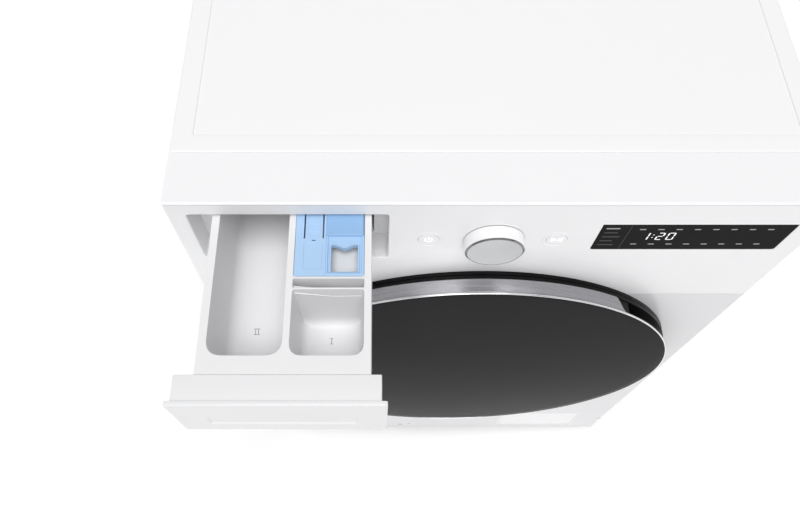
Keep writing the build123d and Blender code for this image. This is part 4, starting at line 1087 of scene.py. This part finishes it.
def drum_wall(columns=504, rows=121):
    """Drum surface by angle and depth. The radius shrinks by a cushion height times the square
    root of |sin(a + d) x sin(a - d)|, where a grows with the angle and d with the depth."""
    angle = np.linspace(0, 2 * math.pi, columns, endpoint=False)[None, :]
    share = np.linspace(0, 1, rows)[:, None]
    depth = pressed_start + share * pressed_length
    lattice = np.abs(np.sin(angle * cushions_round / 2 + share * cushion_rows * math.pi / 2))
    lattice = lattice * np.abs(np.sin(angle * cushions_round / 2 - share * cushion_rows * math.pi / 2))
    fade = np.clip(np.minimum(share, 1 - share) * 12, 0, 1)
    inside = drum_radius - drum_sheet - 2.2 * MM * np.sqrt(lattice) * fade
    return angle, depth, inside


inner_wall = turned(*drum_wall(), 0, drum_z)
columns = inner_wall.shape[1]
mouth = upright_circles(
    open_profile(
        [
            (drum_rear, drum_radius - drum_sheet), (drum_rear, drum_radius),
            (drum_front, drum_radius), (drum_front, mouth_radius),
            (drum_front + 8 * MM, mouth_radius - 1 * MM), (drum_front + 8 * MM, mouth_radius),
            (drum_front + drum_sheet, mouth_radius + 3 * MM),
            (drum_front + drum_sheet, drum_radius - drum_sheet - 4 * MM),
            (drum_front + 8 * MM, drum_radius - drum_sheet),
        ],
        [0.4 * MM, 5 * MM, 2 * MM, 0.3 * MM, 0.3 * MM, 1 * MM, 3 * MM],
    ),
    0, drum_z, columns,
)
drum_skin = skin(
    "drum_skin", [np.concatenate([mouth, inner_wall])], stainless, "drum", closed=True,
    sharp=40.0,
)
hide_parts("drum_shell")

hole_painted_shade = moulded("hole_painted_shade", (0.015, 0.015, 0.016), 0.6)


def drum_holes(sides=8):
    """Small discs of painted shade at the crossings of the lattice, where the sheet is not pressed in: they
    stand for the holes, and the sheet is not cut.
    """
    step = 2 * math.pi / cushions_round
    rows = np.arange(1, cushion_rows)
    around = np.arange(cushions_round)
    row, place = [grid.ravel() for grid in np.meshgrid(rows, around, indexing="ij")]
    turn = (place + 0.5 * (row % 2)) * step
    middle_depth = pressed_start + row / cushion_rows * pressed_length
    hole_radius = 1.9 * MM
    rim = np.linspace(0, 2 * math.pi, sides, endpoint=False)
    tangent = hole_radius * np.cos(rim)
    shells = []
    for inward in (0.15 * MM, -0.3 * MM):
        radius = drum_radius - drum_sheet - inward
        angle = turn[:, None] + tangent[None] / radius
        depth = middle_depth[:, None] + hole_radius * np.sin(rim)[None]
        shells.append(turned(angle, depth, radius, 0, drum_z))
    return list(np.stack(shells, axis=1))


# The holes are discs of painted shade on the inner face of the drum sheet.
skin("drum_holes", drum_holes(), hole_painted_shade, "drum")


def paddle(turn, rows=40):
    """Lifter: a rounded ridge along the drum, stood on the wall at the given turn. By the fourth
    root of sin, its height eases to nothing at both ends and its width to about half."""
    share = np.linspace(0.002, 0.998, rows)
    swell = np.sin(math.pi * share) ** 0.25
    section = softened([(-32, -1), (-13, 43), (13, 43), (32, -1)], [2, 14, 14, 2], 8) * MM
    width = section[None, :, 0] * (0.55 + 0.45 * swell[:, None])
    height = np.maximum(section[None, :, 1], -1 * MM) * swell[:, None]
    depth = drum_front + 16 * MM + share * (drum_rear - drum_front - 30 * MM)
    from_axis = drum_radius - drum_sheet - height
    angle = math.radians(turn)
    x = from_axis * math.cos(angle) - width * math.sin(angle)
    z = from_axis * math.sin(angle) + width * math.cos(angle)
    return np.stack([x, front_y + depth[:, None] + 0 * x, drum_z + z], axis=-1)


lifter_shape = skin(
    "lifter_paddles", [paddle(turn) for turn in (30, 150, 270)],
    moulded("lifter_grey", (0.55, 0.56, 0.57), 0.4, 900.0, 0.03, 0.03), "drum",
    sharp=50.0,
)
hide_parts("lifters")

back_front = depths("drum_back")[0]


def pressed_back(columns=180, rows=60):
    """Back wall by radius and angle: it is pressed forwards in a star of five lobes, a logistic
    curve of the cosine of five times the angle, times a squared sine of the radius."""
    angle = np.linspace(0, 2 * math.pi, columns, endpoint=False)[None, :]
    share = np.linspace(0.01, 1, rows)[:, None]
    radius = share * (drum_radius - drum_sheet - 0.3 * MM)
    bell = np.sin(math.pi * np.clip((share - 0.12) / 0.8, 0, 1)) ** 2
    lobes = 1 / (1 + np.exp(-6 * np.cos(5 * angle)))
    depth = back_front - 3.0 * MM * bell * lobes
    return turned(angle, depth, radius, 0, drum_z)


front_skin = pressed_back()
rear_skin = front_skin[::-1] + np.array([0, drum_sheet, 0])
drum_back = skin(
    "drum_back_skin", [np.concatenate([front_skin, rear_skin])], stainless, "drum", sharp=40.0
)
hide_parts("drum_back")

# ---- Tub and what hangs on it -------------------------------------------------------------------
# Two filled grey mouldings hold the drum, with cast weights at the front, the motor at the back,
# springs above and dampers below.
grey_moulding = moulded("grey_moulding", (0.30, 0.305, 0.31), 0.55, 350.0, 0.08, 0.05)
for node in ("tub_front", "tub_rear", "damper_cylinders"):
    coat(node, grey_moulding)
coat("counterweights", moulded("cast_weight", (0.36, 0.35, 0.33), 0.85, 160.0, 0.5, 0.12))

low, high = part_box("suspension_springs")


def coil(x, y, bottom, top, radius, wire, turns=11, steps=24):
    """Wire along a helix whose rise is the turn plus a sine, so the turns are closest half way up."""
    share = np.linspace(0, 1, turns * steps)[:, None]
    angle = 2 * math.pi * turns * share
    rise = share + 0.35 * np.sin(2 * math.pi * share) / (2 * math.pi)
    height = bottom + wire + rise * (top - bottom - 2 * wire)
    rim = np.linspace(0, 2 * math.pi, 10, endpoint=False)[None, :]
    out = radius + wire * np.cos(rim)
    return np.stack([x + out * np.cos(angle), y + out * np.sin(angle), height + wire * np.sin(rim)], axis=-1)


spring_x = 235 * MM
wire_radius = 2 * MM
coil_radius = high.x - spring_x - wire_radius
spring_steel = moulded("spring_steel", (0.30, 0.30, 0.31), 0.35, 600.0, 0.05, 0.06, metallic=1.0)
springs = skin(
    "coil_springs",
    [
        coil(x, (low.y + high.y) / 2, low.z, high.z, coil_radius, wire_radius)
        for x in (-spring_x, spring_x)
    ],
    spring_steel, "tub",
)
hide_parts("suspension_springs")

for node, name, colour, roughness in (
    ("damper_rods", "rod_steel", (0.55, 0.55, 0.56), 0.2),
    ("drum_bearings", "bearing_steel", (0.6, 0.6, 0.6), 0.15),
    ("heater", "heater_sheath", (0.40, 0.38, 0.36), 0.3),
    ("rotor_bolt", "plated_bolt", (0.55, 0.52, 0.42), 0.3),
    ("drum_spider", "cast_alloy", (0.45, 0.45, 0.46), 0.5),
    ("motor_rotor", "rotor_steel", (0.30, 0.30, 0.31), 0.4),
):
    coat(node, moulded(name, colour, roughness, 500.0, 0.1, 0.06, metallic=1.0))
coat("motor_stator", moulded("winding_copper", (0.55, 0.25, 0.12), 0.4, 400.0, 0.15, 0.1, metallic=0.8))


def folded(z_bottom, z_top, radius, wall, folds):
    """Profile of a folded rubber tube: out and back along the height, then back down the inside."""
    share = np.linspace(0, 1, folds * 8 + 1)
    swing = 0.5 * (1 - np.cos(2 * math.pi * folds * share))
    height = z_bottom + share * (z_top - z_bottom)
    outside = np.column_stack([height, radius + swing * 3 * MM])
    inside = np.column_stack([height, radius - wall + swing * 3 * MM])[::-1]
    return np.concatenate([outside, inside])


low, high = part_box("tub_bellows")
sump_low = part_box("tub_rear")[0].z
filling_low = 655 * MM
rubber_wall = 2 * MM
bellows = skin(
    "rubber_bellows",
    [
        level_circles(-187 * MM, at(200 * MM), folded(filling_low, high.z, 15 * MM, rubber_wall, 8)),
        level_circles(0, at(300 * MM), folded(low.z, sump_low, 13 * MM, rubber_wall, 5)),
    ],
    gasket_rubber, "tub", closed=True,
)
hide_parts("tub_bellows")

# ---- Back of the cabinet ------------------------------------------------------------------------
# Bare zinc coated sheet with pressed ribs and a round cover over the motor, fixed with screws. The
# water thread, the drain spigot, the cable gland and four transit caps stand out of it.


def zinc_sheet(name, colour, roughness):
    """Zinc coating: the cells of a Voronoi pattern, each of one grey, change the colour a little."""
    material = moulded(name, colour, roughness, 300.0, 0.04, 0.03, metallic=1.0)
    nodes, links = material.node_tree.nodes, material.node_tree.links
    place = nodes.new("ShaderNodeTexCoord")
    cells = nodes.new("ShaderNodeTexVoronoi")
    cells.inputs["Scale"].default_value = 55.0
    links.new(place.outputs["Object"], cells.inputs["Vector"])
    grey = nodes.new("ShaderNodeRGBToBW")
    links.new(cells.outputs["Color"], grey.inputs["Color"])
    tinted(material, grey.outputs["Val"], colour, 0.86, 1.14)
    return material


zinc = zinc_sheet("zinc_sheet", (0.55, 0.56, 0.57), 0.38)
for node in ("rear_panel", "rear_cover", "top_brace", "hinge_bracket", "door_hinge_arm"):
    coat(node, zinc)
coat("rear_screws", moulded("zinc_screw", (0.50, 0.50, 0.50), 0.3, 900.0, 0.05, 0.05, metallic=1.0))

rear_face = depths("rear_panel")[1]
rib_width = 14 * MM


def pressed_rib(x, z, height=1.6 * MM, corner=6 * MM):
    """Flat-topped rib standing out of the rear sheet, with sides that slope at 45 degrees."""
    profile = [(0, rear_face - 0.4 * MM), (0, rear_face), (height, rear_face + height)]
    return stood_up(stepped(x, z, corner, profile))


skin(
    "rear_ribs",
    [pressed_rib((-250 * MM, 130 * MM), (z * MM, z * MM + rib_width)) for z in (700, 728)]
    + [pressed_rib((-230 * MM, 200 * MM), (z * MM, z * MM + rib_width)) for z in (150, 178, 206)]
    + [pressed_rib((x * MM, x * MM + rib_width), (270 * MM, 640 * MM)) for x in (-262, -236, 222, 248)],
    zinc, "cabinet", sharp=25.0,
)
cover_face = depths("rear_cover")[1]
skin(
    "cover_rings",
    [
        upright_circles(
            softened(
                [
                    (cover_face - 0.4 * MM, radius), (cover_face + 1.2 * MM, radius + 2 * MM),
                    (cover_face + 1.2 * MM, radius + 8 * MM),
                    (cover_face - 0.4 * MM, radius + 10 * MM),
                ],
                1 * MM,
            ),
            0, drum_z, 144,
        )
        for radius in (40 * MM, 105 * MM)
    ],
    zinc, "cabinet", closed=True, sharp=30.0,
)

black_moulding = moulded("black_moulding", (0.025, 0.025, 0.027), 0.5, 500.0, 0.08, 0.1)
for node in ("cord_gland", "pump_filter", "pump_impeller", "pump_motor", "inlet_valve", "door_lock"):
    coat(node, black_moulding)
for node in ("transit_caps", "drain_pipe", "pump_housing", "base_pan"):
    coat(node, grey_moulding)
coat("door_hook", moulded("hook_plate", (0.5, 0.5, 0.5), 0.35, 700.0, 0.05, 0.05, metallic=1.0))
coat("dispenser_housing", tray_white)
coat("control_board", moulded("board_green", (0.02, 0.12, 0.05), 0.4, 200.0, 0.2, 0.15))

thread_x, thread_z = -190 * MM, 790 * MM
thread_start = rear_face + 1.4 * MM
thread_end = depths("inlet_valve")[1] - 0.05 * MM


def thread(x, z, radius, start, end, pitch, columns=72, rows_per_turn=10):
    """Screw thread by angle and length: the radius falls by a raised cosine of the length over the
    pitch less the turn, and both ends taper in."""
    turns = (end - start) / pitch
    share = np.linspace(0, 1, int(turns * rows_per_turn) + 1)[:, None]
    angle = np.linspace(0, 2 * math.pi, columns, endpoint=False)[None, :]
    wave = 0.5 * (1 - np.cos(2 * math.pi * (share * turns) - angle))
    ends = np.clip(np.minimum(share, 1 - share) * turns, 0, 1)
    out = radius - 0.9 * MM * (1 - wave * ends)
    return turned(angle, start + share * (end - start), out, x, z)


bore_radius = 9.2 * MM
thread_shape = thread(thread_x, thread_z, 13.2 * MM, thread_start, thread_end, 1.8 * MM)
thread_bore = upright_circles(
    [(thread_end, bore_radius), (thread_start, bore_radius)], thread_x, thread_z, 72
)
skin(
    "inlet_thread", [np.concatenate([thread_shape, thread_bore])],
    moulded("thread_white", (0.7, 0.7, 0.7), 0.45, 700.0, 0.05, 0.03), "cabinet",
    closed=True,
)

# ---- Levelling feet -----------------------------------------------------------------------------
# Black rubber pads moulded under a plated stud, each with a six-sided nut to turn it by.
foot_rubber = moulded("foot_rubber", (0.03, 0.03, 0.03), 0.75, 400.0, 0.2, 0.1)
for node in ("foot_front_left", "foot_front_right", "foot_rear_left", "foot_rear_right"):
    low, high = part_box(node)
    x, y = (low.x + high.x) / 2, (low.y + high.y) / 2
    radius = (high.x - low.x) / 2
    stud_start = low.z + 7.8 * MM
    pad = open_profile(
        [
            (low.z, 1 * MM), (low.z, radius - 1.5 * MM), (low.z + 2.5 * MM, radius),
            (low.z + 6 * MM, radius - 1 * MM), (low.z + 8 * MM, radius - 7 * MM),
            (low.z + 8 * MM, 1 * MM),
        ],
        [1 * MM, 1 * MM, 2 * MM, 2 * MM],
    )
    stud = [(stud_start, 4 * MM), (high.z - 1 * MM, 4 * MM), (high.z, 3 * MM)]
    nut = [(stud_start, 8.5 * MM), (low.z + 12 * MM, 8.5 * MM)]
    pad_piece = skin(
        node + "_pad", [level_circles(x, y, pad, 64)], foot_rubber, node, sharp=35.0
    )
    skin(
        node + "_stud", [level_circles(x, y, stud, 24), level_circles(x, y, nut, 6)], spring_steel,
        node, sharp=30.0,
    )
    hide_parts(node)

# ---- Studio -------------------------------------------------------------------------------------
# Pale seamless floor in even white surroundings, with a soft light from above and in front and a
# weaker one from low in front. Both are plain white and very wide, so that shadows stay soft.
floor_mesh = bpy.data.meshes.new("studio_floor")
reach = 60
floor_corners = [(-reach, -reach, 0), (reach, -reach, 0), (reach, reach, 0), (-reach, reach, 0)]
floor_mesh.from_pydata(floor_corners, [], [(0, 1, 2, 3)])
floor_mesh.materials.append(
    moulded("studio_floor", (0.94, 0.94, 0.94), 0.8, 20.0, 0.0, 0.0, specular_ior_level=0.1)
)
studio_floor = bpy.data.objects.new("studio_floor", floor_mesh)
bpy.context.scene.collection.objects.link(studio_floor)


def soft_light(name, from_vertical, from_middle, strength, spread):
    """Distant wide light from the front, at an angle from the vertical and from the middle plane."""
    data = bpy.data.lights.new(name, "SUN")
    data.angle = math.radians(spread)
    data.energy = strength
    light = bpy.data.objects.new(name, data)
    light.rotation_euler = (math.radians(from_vertical), 0, math.radians(from_middle))
    bpy.context.scene.collection.objects.link(light)


soft_light("above_front", 18.0, -3.0, 2.15, 40.0)
soft_light("low_front", 75.0, 8.0, 0.30, 70.0)
world = bpy.data.worlds.new("studio_white")
world.use_nodes = True
surroundings = world.node_tree.nodes["Background"]
surroundings.inputs["Color"].default_value = (1, 1, 1, 1)
surroundings.inputs["Strength"].default_value = 0.41
bpy.context.scene.world = world
bpy.context.scene.view_settings.view_transform = "Standard"

# ---- Camera -------------------------------------------------------------------------------------
# It stands a little left of the middle, above and in front of the top edge, and looks steeply down.
camera_data = bpy.data.cameras.new("camera")
camera_data.sensor_width = 36.0
camera_data.lens = 31.88
camera_data.shift_x = 0.0269
camera_data.shift_y = -0.0132
camera_data.clip_start = 0.05
camera = bpy.data.objects.new("camera", camera_data)
camera.location = (-0.1098, front_y - 0.3158, 1.3815)
camera.rotation_euler = (math.radians(90.0 - 63.39), 0, 0)
bpy.context.scene.collection.objects.link(camera)
bpy.context.scene.camera = camera
